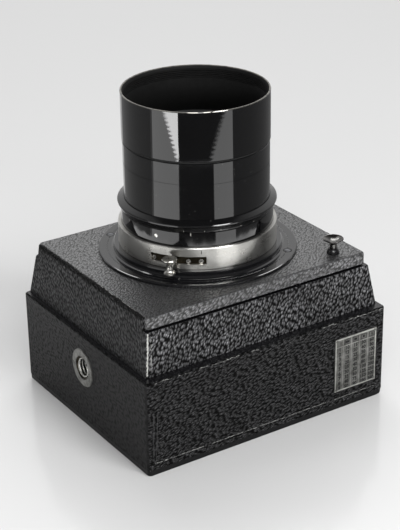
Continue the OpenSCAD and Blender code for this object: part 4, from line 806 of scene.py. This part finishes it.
# The pale backdrop stands behind the camera body, so mirror-like surfaces find it only on that side
BACKDROP_WAY = (0.546, 0.838, 0.0)
behind = add(sky, "ShaderNodeVectorMath", {0: look.outputs["Generated"], 1: BACKDROP_WAY},
             operation="DOT_PRODUCT")
backed = add(sky, "ShaderNodeMapRange", {"Value": behind.outputs["Value"], "From Min": 0.2,
                                         "From Max": 0.8, "To Min": 0.12, "To Max": 0.85},
             interpolation_type="SMOOTHSTEP")
seen = add(sky, "ShaderNodeMath", {0: path.outputs["Is Camera Ray"],
                                   1: path.outputs["Is Transmission Ray"]}, operation="MAXIMUM")
wash = add(sky, "ShaderNodeBackground", {"Color": linear("#e6e6e6"), "Strength": 0.34})
mirrored = add(sky, "ShaderNodeBackground", {"Color": linear("#f0f0f0"),
                                             "Strength": backed.outputs["Result"]})
backdrop = add(sky, "ShaderNodeBackground", {"Color": linear("#e8e8e8"), "Strength": 1.0})
gloss_or_wash = add(sky, "ShaderNodeMixShader", {"Fac": path.outputs["Is Glossy Ray"],
                                                 1: wash.outputs["Background"],
                                                 2: mirrored.outputs["Background"]})
every_ray = add(sky, "ShaderNodeMixShader", {"Fac": seen.outputs["Value"],
                                             1: gloss_or_wash.outputs["Shader"],
                                             2: backdrop.outputs["Background"]})
add(sky, "ShaderNodeOutputWorld", {"Surface": every_ray.outputs["Shader"]})


# Soft lamps, in metres, degrees and watts, all turned towards one point in the body
LAMPS_AIM = Vector((0, 0, 0.07))


def softbox(name, azimuth, elevation, distance, width, height, power):
    """A soft rectangular lamp at an angle round the lens axis, turned towards the camera body."""
    lamp = bpy.data.lights.new(name, "AREA")
    lamp.shape = "RECTANGLE"
    lamp.size, lamp.size_y = width, height
    lamp.energy = power
    made = bpy.data.objects.new(name, lamp)
    a, e = math.radians(azimuth), math.radians(elevation)
    away = Vector((math.cos(a) * math.cos(e), math.sin(a) * math.cos(e), math.sin(e)))
    made.location = LAMPS_AIM + distance * away
    made.rotation_euler = away.to_track_quat("Z", "Y").to_euler()
    bpy.context.scene.collection.objects.link(made)


softbox("key_lamp", -80, 46, 1.3, 0.4, 0.4, 8)
softbox("front_lamp", -118, 40, 1.4, 0.7, 0.5, 9)
softbox("fill_lamp", 172, 42, 1.5, 0.8, 0.8, 1)
softbox("back_lamp", 60, 52, 1.7, 1.2, 0.8, 12)

TEETH = 12


def card_edge(start, end, steps, reach=0):
    """Points on one edge of a card, without its end. Every other one stands out by reach degrees."""
    return [(start[0] + (end[0] - start[0]) * i / steps,
             start[1] + (end[1] - start[1]) * i / steps + reach * (i % 2)) for i in range(steps)]


def reflector(name, inner, outer, level, lift=1.0, toothed=(0, 0)):
    """A card on the floor round the camera body that only gloss sees: a grey or white bar in the lacquer.

    inner and outer are (radius in mm, first azimuth, last azimuth) round the lens axis. toothed is how far
    in degrees the teeth of each side reach. The gloss shows such teeth, as a cut paper edge would give.
    """
    glow = bpy.data.materials.new(name)
    glow.use_nodes = True
    glow.node_tree.nodes.clear()
    shine = add(glow.node_tree, "ShaderNodeEmission", {"Color": (1, 1, 1, 1), "Strength": level})
    nothing = add(glow.node_tree, "ShaderNodeBsdfTransparent")
    below = add(glow.node_tree, "ShaderNodeNewGeometry")
    one_side = add(glow.node_tree, "ShaderNodeMixShader", {"Fac": below.outputs["Backfacing"],
                                                           1: shine.outputs["Emission"],
                                                           2: nothing.outputs["BSDF"]})
    add(glow.node_tree, "ShaderNodeOutputMaterial", {"Surface": one_side.outputs["Shader"]})
    (near, near_first, near_last), (far, far_first, far_last) = inner, outer
    rim = (card_edge((near, near_first), (near, near_last), 12)
           + card_edge((near, near_last), (far, far_last), 2 * TEETH, toothed[1])
           + card_edge((far, far_last), (far, far_first), 12)
           + card_edge((far, far_first), (near, near_first), 2 * TEETH, toothed[0]))
    corners = [(r * math.cos(math.radians(a)), r * math.sin(math.radians(a)), lift) for r, a in rim]
    card = staged_sheet(name, corners[::-1], glow)
    card.visible_camera = card.visible_diffuse = card.visible_transmission = False
    card.visible_shadow = card.visible_volume_scatter = False


# The lower cards lie under the ones with a greater lift, which hide them where both are
reflector("white_card_ring", (165, -240, -24), (238, -240, -24), 2.5, lift=3)
reflector("dark_card_front", (150, -149, -98), (370, -149, -98), 0.1, lift=2)
reflector("dark_card_hood", (372, -149, -107), (480, -149, -83), 0.1, lift=2, toothed=(0, 8))
reflector("grey_card_right", (150, -149, -68), (480, -149, -68), 2.0)
reflector("dark_card_right", (150, -68, 40), (480, -68, 40), 0.22)
reflector("white_strip", (372, -154, -149), (480, -175, -149), 12.0, lift=2, toothed=(7, 0))
reflector("grey_card_left", (150, -190, -149), (480, -190, -149), 2.2)
reflector("dark_card_left", (150, -270, -193), (480, -270, -193), 0.35)

# The view of the photo: angles in degrees, distance in metres, and a focal length in pixels of the frame
VIEW_AZIMUTH, VIEW_ELEVATION, VIEW_ROLL = -33.10, 24.97, -0.907
VIEW_DISTANCE = 0.77425
VIEW_TARGET = Vector((-0.661, -2.708, 66.103)) * MM
FOCAL_PIXELS, FRAME_HEIGHT, SENSOR = 1579.23, 530, 36
a, e, roll = (math.radians(v) for v in (VIEW_AZIMUTH, VIEW_ELEVATION, VIEW_ROLL))
away = Vector((math.sin(a) * math.cos(e), -math.cos(a) * math.cos(e), math.sin(e)))
level_side = (-away).cross(Vector((0, 0, 1))).normalized()
level_up = level_side.cross(-away)
picture_right = math.cos(roll) * level_side + math.sin(roll) * level_up
picture_up = -math.sin(roll) * level_side + math.cos(roll) * level_up
eye = bpy.data.objects.new("photo_camera", bpy.data.cameras.new("photo_camera"))
facing = Matrix((picture_right, picture_up, away)).transposed().to_4x4()
eye.matrix_world = Matrix.Translation(VIEW_TARGET + VIEW_DISTANCE * away) @ facing
eye.data.sensor_fit = "VERTICAL"
eye.data.sensor_height = SENSOR
eye.data.lens = FOCAL_PIXELS * SENSOR / FRAME_HEIGHT
eye.data.clip_start = 0.01
bpy.context.scene.collection.objects.link(eye)
bpy.context.scene.camera = eye
bpy.context.scene.view_settings.view_transform = "Standard"

low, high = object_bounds()
